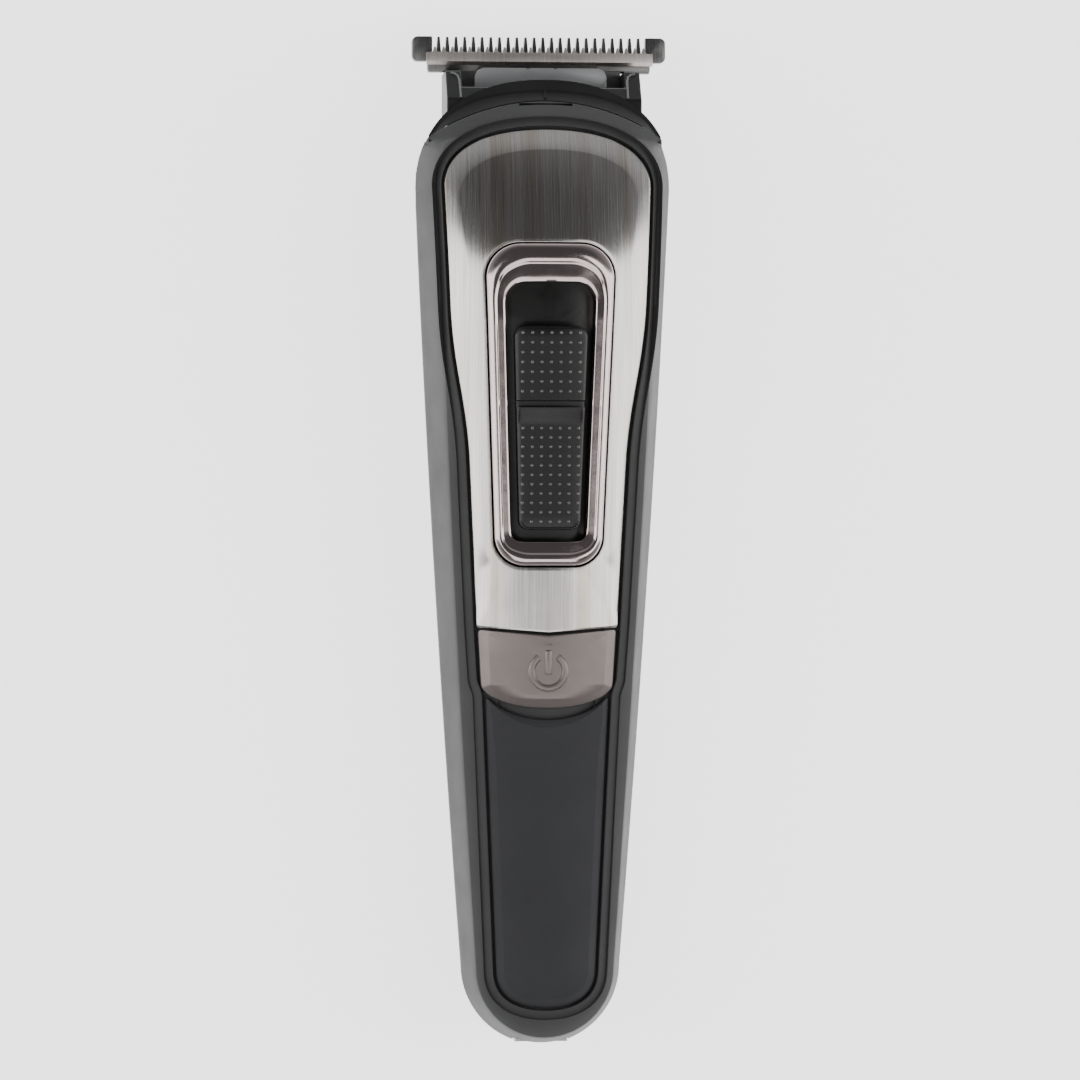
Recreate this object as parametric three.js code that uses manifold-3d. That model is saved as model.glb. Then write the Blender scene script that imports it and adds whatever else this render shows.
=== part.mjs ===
import * as THREE from 'three';
import { mergeVertices } from 'three/addons/utils/BufferGeometryUtils.js';
import Module from 'manifold-3d';

const wasm = await Module();
wasm.setup();

// Beard trimmer lying on its back. Millimetres: +X across the body, +Y from the butt end to the
// teeth, +Z out of the front. Y is measured from the butt end, and the whole group is centred last.

// Housing form
const overallLength = 160; // butt end to comb tips
const bladeOverhang = 7.7; // comb tips beyond the crown of the arched top
const housingLength = overallLength - bladeOverhang;
const buttRadius = 12.6; // round lower end, seen from the front
const shoulderHalfWidth = 20.15; // widest place, just below the arch
const shoulderY = housingLength - 17;
const sideBow = 0.27; // how far the sides bow out between butt and shoulder
const archPower = 2.25; // squareness of the arched top
const creaseShare = 0.865; // half width of the front face over the half width of the body
const backFlatHalfWidth = 6.3; // flat spine the trimmer lies on
const flankRoundness = 0.85; // below 1 fills the flanks out, above the flat spine
const partingAtButt = 12; // height of the widest line
const partingAtMotor = 15.5;
const motorY = housingLength - 37.3; // where the housing is deepest
const topRise = 6; // the same at the top rim
const noseDropY = motorY + 3; // the front falls and the back rises beyond this
const noseBackLift = 8.5; // how far the back rises towards the blade
const buttBackLift = 5;
const buttBackLiftLength = 25;
const endHalfWidth = 3; // half width of the small flat at either end of the form
const wall = 2.4;
const lowerRise = 6.2 + 2 * wall; // front centre above the widest line, lower end
const motorRise = 10 + 2 * wall; // the same at the motor

// Clearances
const partingGap = 0.3; // between shells, and between a piece and the seat it is let into
const buttonGap = 0.35;
const slideGap = 0.5;
const bladeGap = 0.3; // between layers of the head

// Face pieces
const plateThickness = 1;
const plateTop = housingLength - 8;
const plateBottom = motorY - 49.5;
const plateTopHalfWidth = 16.2;
const plateBottomHalfWidth = 11;
const plateWaistHalfWidth = 12.4;
const plateWaistY = motorY - 22;
const plateHipHalfWidth = 15.4;
const plateHipY = motorY + 2;
const bezelTop = motorY + 11;
const bezelBottom = motorY - 39;
const bezelTopHalfWidth = 9.95;
const bezelBottomHalfWidth = 8.5;
const bezelCorner = 4.6;
const bezelProud = 0.9;
const slotTop = bezelTop - 5.9;
const slotBottom = bezelBottom + 3.8;
const slotTopHalfWidth = 7;
const slotBottomHalfWidth = 5.9;
const slotCorner = 2.2;
const floorThickness = 0.8;
const floorLip = 0.6; // how far the slot floor reaches under the shell round the bezel
const sliderTop = slotTop - 6.9;
const sliderBottom = slotBottom + 1.8;
const sliderTopHalfWidth = 5.7;
const sliderBottomHalfWidth = 4.8;
const sliderCorner = 1.6;
const sliderProud = 1.5;
const sliderDepth = 1.8; // underside of the slider below the face
const sliderStepY = sliderTop - 12.9;
const sliderStepWidth = 1.2;
const sliderStepDepth = 0.9;
const sliderTravel = 5.5;
const buttonTop = plateBottom - 0.4;
const buttonTopHalfWidth = 10.9;
const buttonBottom = buttonTop - 11.4;
const buttonCornerY = buttonBottom + 3.5;
const buttonCornerHalfWidth = 10.4;
const buttonProud = 0.4;
const buttonFlange = 1;
const buttonTravel = 0.5;
const stemRadius = 1.6;
const panelTop = buttonBottom - 1.8;
const panelHornY = panelTop + 3.6;
const panelHornHalfWidth = 9.75;
const panelBottom = 6.7;
const panelBottomHalfWidth = 7.8;
const panelBottomY = 11.8;
const recessHalfWidth = 9.6;

// Drive, battery and board
const driveHeight = 13.8; // height of the motor axis
const motorRadius = 7.5;
const motorLength = 26;
const canWall = 0.7;
const shaftRadius = 0.8;
const runningGap = 0.2;
const eccentricity = 0.8;
const drivePinRadius = 0.7;
const camRadius = 2.4;
const bracketThickness = 1.5;
const motorScrewPlaces = [-4.6, 4.6];
const motorScrewHead = 1.3;
const cellRadius = 7;
const cellLength = motorY - 65;
const cellStart = 22.9;
const contactThickness = 0.6;
const chassisFloor = 0.9;
const ribThickness = 1.6;
const boardThickness = 1;
const boardHalfWidth = 5.4;
const switchSide = 5;
const switchHeight = 1.1;
const plungerRadius = 1;
const socketWidth = 8.4;
const socketHeight = 3.4;
const socketLength = 6;
const socketSetback = 0.6;
const socketWall = 0.5;

// Carriage between slider and head
const carriageHeight = driveHeight + motorRadius + 0.4;
const carriageThickness = 1.4;
const carriageHalfWidth = 3.6;
const carriageStart = bezelBottom + 10;
const neckStart = carriageStart + 6;
const neckLength = 12;
const neckHalfWidth = 1.8;
const footLength = 9.2;
const footHeight = 17.3;
const footTop = 21.6;
const springHeight = carriageHeight - 0.5; // axis of the slider spring
const springPostHalfWidth = 2.5;
const springPostTop = carriageHeight + 0.6;

// Head
const seatY = housingLength - 9.6; // end face of the housing that the head sits on
const hoodHeight = 20; // underside of the arched hood in front of the head
const rimArcTop = housingLength - 3.4; // joint between front shell and head mount, on the centre line
const rimArcSideY = seatY + 0.3;
const rimArcHalfWidth = shoulderHalfWidth - 1.25;
const mountStart = seatY - 5.7;
const lapThickness = 1.2; // the front shell's lip over the head mount
const lapLength = 3.5;
const carrierHalfWidth = shoulderHalfWidth - 4.75;
const carrierTop = seatY + 11.3;
const cheekInside = carrierHalfWidth - 2.5;
const carrierBlockTop = seatY + 8.6;
const carrierBaseTop = seatY + 3.8;
const carrierSlope = 0.62; // radians, from the hood down to the teeth
const combHeight = 8.5; // underside of the comb
const combThickness = 1.8;
const cutterThickness = 1.3;
const coverThickness = 1;
const lugHalfWidth = shoulderHalfWidth + 0.1;
const lugInside = lugHalfWidth - 2.85;
const lugBottom = overallLength - 3.9;
const combHalfWidth = shoulderHalfWidth - 2.35;
const combBottom = carrierTop + partingGap;
const combRoot = overallLength - 2.8;
const toothCount = 24;
const toothPitch = (2 * combHalfWidth - 2.3) / toothCount;
const toothWidth = 0.8;
const toothTipWidth = 0.35;
const cutterHalfWidth = combHalfWidth + 0.25;
const cutterBottom = combBottom + 1.1;
const cutterTip = overallLength - 1.7;
const cutterRoot = cutterTip - 1;
const cutterTongueHalfWidth = 9.5;
const cutterStroke = 1; // either side of the middle
const coverHalfWidth = 10.5;
const coverTop = cutterBottom - 0.6;
const forkHalfWidth = 4.2;
const forkTop = carrierBlockTop - 0.1;
const forkWeb = 0.9;
const tongueHalfWidth = 1.7;
const tongueX = 9.5;
const tongueLength = 4.5;

// Screws
const shankRadius = 0.9;
const screwHeadRadius = 1.9;
const screwHeadHeight = 1.4;
const bossRadius = 2.3;
const screwTipHeight = 15.5;
const bossSplitHeight = 9;
// x, y and the height of the floor its head sits on
const housingScrews = [[0, 15.5, 3.6], [12.3, slotBottom + 4.2, 5.2], [-12.3, slotBottom + 4.2, 5.2]];

// Places that follow from the sizes above
const motorEnd = seatY - 18.7;
const motorStart = motorEnd - motorLength;
const bracketStart = motorEnd + partingGap;
const bushOuter = 2.2;
const bushLength = 2.5;
const boreRadius = shaftRadius + runningGap;
const shaftEnd = motorEnd + 8.5;
const cradleTop = driveHeight - motorRadius - 2 * partingGap; // chassis floor under the motor
const cellHeight = wall + partingGap + chassisFloor + partingGap + cellRadius;
const rearRibStart = cellStart - 2 * partingGap - contactThickness - ribThickness;
const frontRibStart = cellStart + cellLength + 2 * partingGap + contactThickness;
const boardHeight = cellHeight + cellRadius + partingGap; // underside of the circuit board
const boardEnd = frontRibStart - 1.1;
const switchY = (buttonTop + buttonBottom) / 2;
const switchBase = boardHeight + boardThickness + partingGap;
const sliderSpringStart = frontRibStart + ribThickness + partingGap;
const sliderSpringLength = carriageStart - partingGap - sliderSpringStart;
const bladeScrewX = 8.2;
const bladeScrewY = seatY + 6.5;
const bladeNeckHalfWidth = cheekInside - 2 * partingGap;
const bladeNeckBottom = carrierBaseTop + partingGap;
const cutterHeight = combHeight + combThickness + bladeGap;
const coverHeight = cutterHeight + cutterThickness + bladeGap;
const carrierFront = coverHeight + coverThickness + bladeGap;
// pin and cutter at opposite ends
const forkGap = eccentricity + drivePinRadius + cutterStroke + runningGap;

const round = 24; // sides of a round piece
const reach = 60; // half size of a cutting block, larger than the whole trimmer across

// Finishes
const finish = (color, roughness, metalness) => () =>
  new THREE.MeshStandardMaterial({ color, roughness, metalness });
const blackPlastic = finish('#1c1c1d', 0.55, 0);
const softBlack = finish('#232323', 0.75, 0);
const brushedSteel = finish('#b8b4ae', 0.35, 1);
const roseGunmetal = finish('#9b8d86', 0.25, 1);
const taupeMetal = finish('#7a6d68', 0.4, 0.8);
const satinSilver = finish('#a0a2a5', 0.4, 1);
const darkSteel = finish('#5b5a58', 0.4, 1);
const warmSteel = finish('#b0a8a0', 0.3, 1);
const boardGreen = finish('#1f4d33', 0.6, 0);
const cellWrap = finish('#2d5a8c', 0.5, 0);
const brass = finish('#b59a55', 0.35, 1);
const copper = finish('#9c5a35', 0.45, 1);
const whitePlastic = finish('#d8d6d0', 0.5, 0);

// Solids

function solidOf(geometry) {
  const plain = geometry.index ? geometry.clone() : mergeVertices(geometry);
  for (const name of ['normal', 'uv']) plain.deleteAttribute(name);
  const merged = mergeVertices(plain, 1e-4);
  const mesh = new wasm.Mesh({
    numProp: 3,
    vertProperties: new Float32Array(merged.attributes.position.array),
    triVerts: new Uint32Array(merged.index.array),
  });
  return new wasm.Manifold(mesh);
}

// A box between two corners
function block(low, high) {
  const size = high.map((value, axis) => value - low[axis]);
  const geometry = new THREE.BoxGeometry(...size);
  geometry.translate(...low.map((value, axis) => value + size[axis] / 2));
  return solidOf(geometry);
}

// A box centred on X = 0
function midBlock(halfWidth, y, z) {
  return block([-halfWidth, y[0], z[0]], [halfWidth, y[1], z[1]]);
}

// A closed outline in the XY plane, raised between two heights
function prism(points, bottom, top) {
  const shape = new THREE.Shape(points);
  const geometry = new THREE.ExtrudeGeometry(shape, { depth: top - bottom, bevelEnabled: false });
  geometry.translate(0, 0, bottom);
  return solidOf(geometry);
}

// Round pieces: along Y from y[0] to y[1], or standing along Z
function rodAlongY(radius, y, x = 0, z = driveHeight, sides = round) {
  const geometry = new THREE.CylinderGeometry(radius, radius, y[1] - y[0], sides);
  geometry.translate(x, (y[0] + y[1]) / 2, z);
  return solidOf(geometry);
}

function rodAlongZ(radius, x, y, z, sides = round) {
  const geometry = new THREE.CylinderGeometry(radius, radius, z[1] - z[0], sides);
  geometry.rotateX(Math.PI / 2);
  geometry.translate(x, y, (z[0] + z[1]) / 2);
  return solidOf(geometry);
}

// A coil of wire standing on the origin along +Z
function coil(radius, wire, length, turns) {
  class Helix extends THREE.Curve {
    getPoint(t, target = new THREE.Vector3()) {
      const angle = t * turns * 2 * Math.PI;
      return target.set(radius * Math.cos(angle), radius * Math.sin(angle), wire + t * (length - 2 * wire));
    }
  }
  const section = new THREE.Shape();
  section.absarc(0, 0, wire, 0, 2 * Math.PI);
  const steps = turns * 8;
  const options = { steps, extrudePath: new Helix(), curveSegments: 3, bevelEnabled: false };
  return new THREE.ExtrudeGeometry(section, options);
}

// The outline of a half drawn up the right-hand side, joined to its mirror image
function wholeOutline(path, divisions = 6) {
  const right = path.getPoints(divisions);
  const left = right.filter((point) => point.x > 1e-6).map((point) => new THREE.Vector2(-point.x, point.y));
  return [...right, ...left.reverse()];
}

// An outline moved outwards by a distance, with its corners kept sharp
function grown(points, distance) {
  const count = points.length;
  return points.map((point, i) => {
    const before = point.clone().sub(points[(i + count - 1) % count]).normalize();
    const after = points[(i + 1) % count].clone().sub(point).normalize();
    const normal = new THREE.Vector2(before.y + after.y, -before.x - after.x).normalize();
    const spread = distance / Math.max(0.4, normal.x * before.y - normal.y * before.x);
    return point.clone().addScaledVector(normal, spread);
  });
}

// Housing form: cross sections along Y

function halfWidthAt(y) {
  if (y < buttRadius) return Math.sqrt(Math.max(0, buttRadius ** 2 - (buttRadius - y) ** 2));
  if (y < shoulderY) {
    const along = (y - buttRadius) / (shoulderY - buttRadius);
    return buttRadius + (shoulderHalfWidth - buttRadius) * (along + sideBow * along * (1 - along));
  }
  const rise = Math.min(1, (y - shoulderY) / (housingLength - shoulderY));
  return shoulderHalfWidth * (1 - rise ** archPower) ** (1 / archPower);
}

const partingHeight = (y) => partingAtButt + ((partingAtMotor - partingAtButt) * y) / motorY;

function frontHeight(y) {
  const along = Math.max(0, y - 20) / (motorY - 20);
  const lower = lowerRise + (motorRise - lowerRise) * Math.min(1, along) ** 2;
  const past = Math.max(0, y - noseDropY) / (housingLength - noseDropY);
  const roundedEnd = y < buttRadius ? 0.45 + 0.55 * (halfWidthAt(y) / buttRadius) : 1;
  return partingHeight(y) + (lower - (motorRise - topRise) * past ** 1.8) * roundedEnd;
}

function backHeight(y) {
  const butt = buttBackLift * Math.max(0, 1 - y / buttBackLiftLength) ** 2;
  const nose = noseBackLift * Math.max(0, (y - noseDropY) / (housingLength - noseDropY)) ** 1.5;
  return butt + nose;
}

// Half a section, from the front centre round to the back centre
function halfSection(y, inset) {
  const halfWidth = Math.max(halfWidthAt(y), endHalfWidth + inset) - inset;
  const crease = Math.max(halfWidthAt(y), endHalfWidth + inset) * creaseShare - inset * creaseShare;
  const middle = partingHeight(y);
  const front = frontHeight(y) - inset;
  const creaseHeight = middle + (front - middle) * 0.7;
  const back = backHeight(y) + inset;
  const crown = [0, 0.3, 0.55, 0.8, 1].map((share) => {
    return [share * crease, front - (front - creaseHeight) * share ** 2];
  });
  const flat = Math.min(backFlatHalfWidth, halfWidth / 2);
  const flank = [0, 0.3, 0.55, 0.8, 1].map((share) => {
    const turn = share * Math.PI * 0.5;
    const across = flat + (halfWidth - flat) * Math.cos(turn) ** flankRoundness;
    return [across, middle - (middle - back) * Math.sin(turn) ** flankRoundness];
  });
  return [...crown, ...flank, [0, back]];
}

const stationList = [0, 0.8, 2.2, 4.4, 8, buttRadius];
for (const share of [0.06, 0.13, 0.27, 0.42, 0.56, 0.7, 0.84, 1]) {
  stationList.push(buttRadius + share * (motorY - buttRadius));
}
for (const share of [0.45, 0.75, 1]) {
  stationList.push(motorY + share * (shoulderY - motorY));
}
for (const share of [0.25, 0.45, 0.62, 0.76, 0.87, 0.95, 1]) {
  stationList.push(shoulderY + share * (housingLength - shoulderY));
}

// The whole housing as one solid, shrunk inwards by a distance
function housingForm(inset) {
  const half = halfSection(0, 0).length;
  const around = 2 * (half - 1);
  const last = stationList.length - 1;
  const geometry = new THREE.CylinderGeometry(1, 1, 1, around, last);
  const position = geometry.attributes.position;
  for (let i = 0; i < position.count; i++) {
    const [x, y, z] = [position.getX(i), position.getY(i), position.getZ(i)];
    const station = stationList[Math.round((y + 0.5) * last)];
    const turn = (Math.round((Math.atan2(x, z) / (2 * Math.PI)) * around) + around) % around;
    const mirrored = turn >= half;
    const [across, height] = halfSection(station, inset)[mirrored ? around - turn : turn];
    const fromCentre = Math.min(1, Math.hypot(x, z));
    const middle = partingHeight(station);
    const along = inset + station * (1 - (2 * inset) / housingLength);
    const side = mirrored ? -1 : 1;
    position.setXYZ(i, across * side * fromCentre, along, middle + (height - middle) * fromCentre);
  }
  return solidOf(geometry);
}

// A piece of the front face: an outline cut from the layer between two depths below the surface
function facePiece(points, shallow, deep) {
  const layer = housingForm(shallow).subtract(housingForm(deep));
  return layer.intersect(prism(points, partingAtButt + 2, reach));
}

// Outlines of the face pieces

const outline = {
  plate() {
    const path = new THREE.Path();
    path.moveTo(0, plateBottom);
    path.lineTo(plateBottomHalfWidth, plateBottom + 0.9);
    path.lineTo(plateWaistHalfWidth, plateWaistY);
    path.bezierCurveTo(
      plateWaistHalfWidth + 0.7, plateWaistY + 10,
      plateHipHalfWidth - 0.4, plateHipY - 10,
      plateHipHalfWidth, plateHipY,
    );
    path.lineTo(plateTopHalfWidth, plateTop - 9);
    path.bezierCurveTo(plateTopHalfWidth, plateTop - 4, plateTopHalfWidth - 5, plateTop, 0, plateTop);
    return wholeOutline(path, 8);
  },
  rounded(top, topHalf, bottom, bottomHalf, corner) {
    const path = new THREE.Path();
    path.moveTo(0, bottom);
    path.lineTo(bottomHalf - corner, bottom);
    path.quadraticCurveTo(bottomHalf, bottom, bottomHalf + 0.02, bottom + corner);
    path.lineTo(topHalf, top - corner);
    path.quadraticCurveTo(topHalf, top, topHalf - corner, top);
    path.lineTo(0, top);
    return wholeOutline(path, 5);
  },
  bezel: () => outline.rounded(bezelTop, bezelTopHalfWidth, bezelBottom, bezelBottomHalfWidth, bezelCorner),
  slot: () => outline.rounded(slotTop, slotTopHalfWidth, slotBottom, slotBottomHalfWidth, slotCorner),
  slider: () =>
    outline.rounded(sliderTop, sliderTopHalfWidth, sliderBottom, sliderBottomHalfWidth, sliderCorner),
  button() {
    const path = new THREE.Path();
    path.moveTo(0, buttonBottom);
    path.quadraticCurveTo(buttonCornerHalfWidth - 3, buttonBottom, buttonCornerHalfWidth, buttonCornerY);
    path.lineTo(buttonTopHalfWidth, buttonTop + 0.9);
    path.lineTo(0, buttonTop);
    return wholeOutline(path, 8);
  },
  panel() {
    const path = new THREE.Path();
    path.moveTo(0, panelBottom);
    path.quadraticCurveTo(panelBottomHalfWidth - 0.6, panelBottom, panelBottomHalfWidth, panelBottomY);
    path.lineTo(panelHornHalfWidth, panelHornY);
    path.quadraticCurveTo(panelHornHalfWidth - 2.5, panelTop, 0, panelTop);
    return wholeOutline(path, 8);
  },
  recess: () => [
    [-recessHalfWidth, panelTop - 2], [recessHalfWidth, panelTop - 2],
    [recessHalfWidth + 0.3, buttonCornerY + 2], [-recessHalfWidth - 0.3, buttonCornerY + 2],
  ].map((point) => new THREE.Vector2(...point)),
  // everything above the joint between front shell and head mount
  aboveRimArc(shift) {
    const path = new THREE.Path();
    path.moveTo(0, rimArcTop + shift);
    for (let step = 1; step <= 8; step++) {
      const share = step / 8;
      path.lineTo(rimArcHalfWidth * share, rimArcTop + shift - (rimArcTop - rimArcSideY) * share ** 2);
    }
    path.lineTo(reach, rimArcSideY + shift);
    path.lineTo(reach, reach * 4);
    path.lineTo(0, reach * 4);
    return wholeOutline(path);
  },
};

// Everything in front of the widest line, moved up by a distance
function frontOfParting(shift) {
  const side = new THREE.Shape();
  side.moveTo(-reach, partingHeight(-reach) + shift);
  side.lineTo(reach * 4, partingHeight(reach * 4) + shift);
  side.lineTo(reach * 4, reach * 2);
  side.lineTo(-reach, reach * 2);
  const geometry = new THREE.ExtrudeGeometry(side, { depth: 2 * reach, bevelEnabled: false });
  geometry.translate(0, 0, -reach);
  const [x, y, z] = [new THREE.Vector3(1, 0, 0), new THREE.Vector3(0, 1, 0), new THREE.Vector3(0, 0, 1)];
  geometry.applyMatrix4(new THREE.Matrix4().makeBasis(y, z, x));
  return solidOf(geometry);
}

const headSpace = () => midBlock(reach, [seatY, reach * 4], [-reach, hoodHeight]);
const socketOpening = () => {
  const middle = partingHeight(0);
  const half = socketHeight / 2 + partingGap;
  return midBlock(socketWidth / 2 + partingGap, [-1, socketLength], [middle - half, middle + half]);
};

// Housing pieces

function shell() {
  return housingForm(0).subtract(housingForm(wall));
}

function frontShell() {
  let body = shell().intersect(frontOfParting(partingGap / 2));
  for (const [x, y] of housingScrews) {
    const boss = rodAlongZ(bossRadius, x, y, [bossSplitHeight + partingGap, reach], 16);
    body = body.add(boss.intersect(housingForm(wall + partingGap)));
    body = body.add(boss.intersect(housingForm(wall - partingGap)).intersect(frontOfParting(partingGap / 2)));
    body = body.subtract(rodAlongZ(shankRadius + partingGap, x, y, [0, screwTipHeight + partingGap], 12));
  }
  const seats = facePiece(grown(outline.plate(), partingGap), -5, plateThickness + partingGap)
    .add(facePiece(grown(outline.panel(), partingGap), -5, plateThickness + partingGap))
    .add(facePiece(outline.recess(), -5, plateThickness + partingGap));
  const lapRegion = prism(outline.aboveRimArc(-lapLength), partingAtMotor + 2, reach);
  const lap = housingForm(lapThickness).intersect(lapRegion);
  return body
    .subtract(prism(outline.aboveRimArc(-partingGap / 2), 0, reach))
    .subtract(lap)
    .subtract(headSpace())
    .subtract(seats)
    .subtract(prism(grown(outline.bezel(), partingGap), partingAtMotor, reach))
    .subtract(prism(grown(outline.button(), buttonGap), partingAtMotor, reach))
    .subtract(socketOpening());
}

function rearShell() {
  let body = shell().subtract(frontOfParting(-partingGap / 2));
  for (const [x, y, seat] of housingScrews) {
    const boss = rodAlongZ(bossRadius, x, y, [wall / 2, bossSplitHeight], 16);
    body = body.add(boss.intersect(housingForm(wall - partingGap)));
    body = body.subtract(rodAlongZ(shankRadius + partingGap, x, y, [-1, reach], 12));
    body = body.subtract(rodAlongZ(screwHeadRadius + partingGap, x, y, [-1, seat], 16));
  }
  return body.subtract(headSpace()).subtract(socketOpening());
}

function headMount() {
  const inner = housingForm(wall + partingGap).intersect(midBlock(reach, [mountStart, reach * 4], [0, reach]));
  const rim = housingForm(0).intersect(prism(outline.aboveRimArc(partingGap / 2), hoodHeight, reach));
  const lap = housingForm(lapThickness + partingGap)
    .intersect(prism(outline.aboveRimArc(partingGap - lapLength), hoodHeight, reach));
  let body = inner.add(rim).add(lap).subtract(headSpace());
  const through = [mountStart - 1, seatY + 1];
  body = body.subtract(rodAlongY(camRadius + slideGap, through));
  for (const side of [-1, 1]) {
    const half = tongueHalfWidth + partingGap;
    const heights = [driveHeight - half, driveHeight + half];
    const middle = side * tongueX;
    body = body.subtract(block([middle - half, through[0], heights[0]], [middle + half, through[1], heights[1]]));
  }
  const channel = carriageHalfWidth + slideGap;
  const channelTop = carriageHeight + carriageThickness + partingGap;
  const channelEnd = seatY + sliderTravel + slideGap;
  return body
    .subtract(midBlock(channel, [mountStart - 1, channelEnd], [footHeight - partingGap, channelTop]))
    .subtract(midBlock(channel, [seatY + 1, channelEnd], [footHeight, reach])); // open under the front shell's lip
}

function steelFaceplate() {
  const opening = prism(grown(outline.bezel(), partingGap), 0, reach);
  return facePiece(outline.plate(), 0, plateThickness).subtract(opening);
}

function sliderBezel() {
  return facePiece(outline.bezel(), -bezelProud, wall).subtract(prism(outline.slot(), 0, reach));
}

function slotFloor() {
  const top = wall + partingGap;
  const neckSlot = [neckStart - partingGap, neckStart + neckLength + sliderTravel + partingGap];
  return facePiece(grown(outline.bezel(), floorLip), top, top + floorThickness)
    .subtract(midBlock(neckHalfWidth + partingGap, neckSlot, [0, reach]));
}

function lowerPanel() {
  return facePiece(outline.panel(), 0, plateThickness);
}

// Slider and its carriage

function thumbSlider() {
  const body = facePiece(outline.slider(), -sliderProud, sliderDepth);
  const step = facePiece(grown(outline.slider(), 1), -5, sliderStepDepth - sliderProud);
  const stepRegion = midBlock(reach, [sliderStepY, sliderStepY + sliderStepWidth], [0, reach]);
  return body.subtract(step.intersect(stepRegion));
}

function sliderCarriage() {
  const top = carriageHeight + carriageThickness;
  const bar = midBlock(carriageHalfWidth, [carriageStart, seatY - footLength + 3], [carriageHeight, top]);
  const foot = midBlock(carriageHalfWidth, [seatY - footLength, seatY], [footHeight, footTop])
    .add(midBlock(carriageHalfWidth, [seatY - footLength, seatY - footLength + 3], [footHeight, top]));
  const neck = midBlock(neckHalfWidth, [neckStart, neckStart + neckLength], [carriageHeight, reach]);
  return bar.add(foot).add(neck.intersect(housingForm(sliderDepth + partingGap)));
}

// Power button and switch

function powerButton() {
  const cap = facePiece(outline.button(), -buttonProud, wall + 1);
  const flange = facePiece(grown(outline.button(), buttonFlange), wall + partingGap, wall + 1)
    .intersect(midBlock(buttonTopHalfWidth, [0, reach * 4], [boardHeight + 2.5, reach]));
  const stemEnd = boardHeight + boardThickness + partingGap + switchHeight + 1;
  const stem = rodAlongZ(stemRadius, 0, (buttonTop + buttonBottom) / 2, [stemEnd, partingAtMotor + 9]);
  return cap.add(flange).add(stem.intersect(housingForm(1)));
}

function switchBody() {
  const half = switchSide / 2;
  const body = block([-half, switchY - half, switchBase], [half, switchY + half, switchBase + switchHeight]);
  return body.subtract(rodAlongZ(plungerRadius + runningGap, 0, switchY, [0, reach]));
}

function switchPlunger() {
  const top = switchBase + switchHeight + 1 - partingGap;
  return rodAlongZ(plungerRadius, 0, switchY, [switchBase + buttonTravel, top]);
}

// Inside the housing

function chassis() {
  const inside = housingForm(wall + partingGap);
  const floorTop = wall + partingGap + chassisFloor;
  const floorEnd = bracketStart + bracketThickness + partingGap + ribThickness;
  let body = midBlock(reach, [rearRibStart, floorEnd], [0, floorTop]);
  body = body.add(midBlock(reach, [motorStart - 2, floorEnd], [0, cradleTop]));
  for (const y of [rearRibStart, frontRibStart, floorEnd - ribThickness]) {
    body = body.add(midBlock(reach, [y, y + ribThickness], [0, boardHeight - 2 * partingGap]));
  }
  const post = [frontRibStart, frontRibStart + ribThickness];
  body = body.add(midBlock(springPostHalfWidth, post, [boardHeight - 1, springPostTop]));
  for (const [x, y] of housingScrews) {
    body = body.subtract(rodAlongZ(bossRadius + partingGap, x, y, [-1, reach], 16));
  }
  for (const x of motorScrewPlaces) {
    body = body.subtract(rodAlongY(motorScrewHead + partingGap, [motorEnd, floorEnd + 1], x));
  }
  const shaftHole = rodAlongY(camRadius + slideGap, [floorEnd - ribThickness - 1, floorEnd + 1]);
  return body.intersect(inside).subtract(shaftHole);
}

function batteryCell() {
  const cell = rodAlongY(cellRadius, [cellStart, cellStart + cellLength - 1], 0, cellHeight);
  const button = rodAlongY(2.6, [cellStart, cellStart + cellLength], 0, cellHeight);
  return cell.add(button);
}

function batteryContact(y) {
  const low = [-4, y, cellHeight - 4];
  return block(low, [4, y + contactThickness, boardHeight - 2 * partingGap]);
}

function circuitBoard() {
  return midBlock(boardHalfWidth, [cellStart + 1, boardEnd], [boardHeight, boardHeight + boardThickness]);
}

function statusLight() {
  return midBlock(0.8, [switchY - 6.5, switchY - 5], [switchBase, switchBase + 0.8]);
}

function chargeSocket() {
  const middle = partingHeight(0);
  const half = socketHeight / 2;
  const end = socketSetback + socketLength;
  const outer = midBlock(socketWidth / 2, [socketSetback, end], [middle - half, middle + half]);
  const mouth = socketWidth / 2 - socketWall;
  const inner = half - socketWall;
  return outer.subtract(midBlock(mouth, [0, end - 1.2], [middle - inner, middle + inner]));
}

function latheAlongY(profile) {
  const points = profile.map(([radius, y]) => new THREE.Vector2(radius, y));
  const geometry = new THREE.LatheGeometry([...points, points[0]], round);
  geometry.translate(0, 0, driveHeight);
  return solidOf(geometry);
}

function motorCan() {
  const can = latheAlongY([
    [motorRadius, motorStart], [motorRadius, motorEnd], [bushOuter + partingGap, motorEnd],
    [bushOuter + partingGap, motorEnd - 1.4], [motorRadius - canWall, motorEnd - 1.4],
    [motorRadius - canWall, motorStart],
  ]);
  const hole = (x) => rodAlongY(0.7 + partingGap, [motorEnd - 2, motorEnd + 1], x);
  return motorScrewPlaces.reduce((body, x) => body.subtract(hole(x)), can);
}

function motorEndCap() {
  const outer = motorRadius - canWall - partingGap;
  return latheAlongY([
    [outer, motorStart], [outer, motorStart + 1.6], [bushOuter + partingGap, motorStart + 1.6],
    [bushOuter + partingGap, motorStart],
  ]);
}

function bush(y) {
  const end = y + bushLength;
  return latheAlongY([[bushOuter, y], [bushOuter, end], [boreRadius, end], [boreRadius, y]]);
}

function motorShaft() {
  return rodAlongY(shaftRadius, [motorStart + partingGap, shaftEnd]);
}

function armature() {
  const start = motorStart + 4.5;
  const end = motorEnd - 4.5;
  const outer = motorRadius - canWall - slideGap;
  const inner = shaftRadius + partingGap;
  return latheAlongY([[outer, start], [outer, end], [inner, end], [inner, start]]);
}

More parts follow.
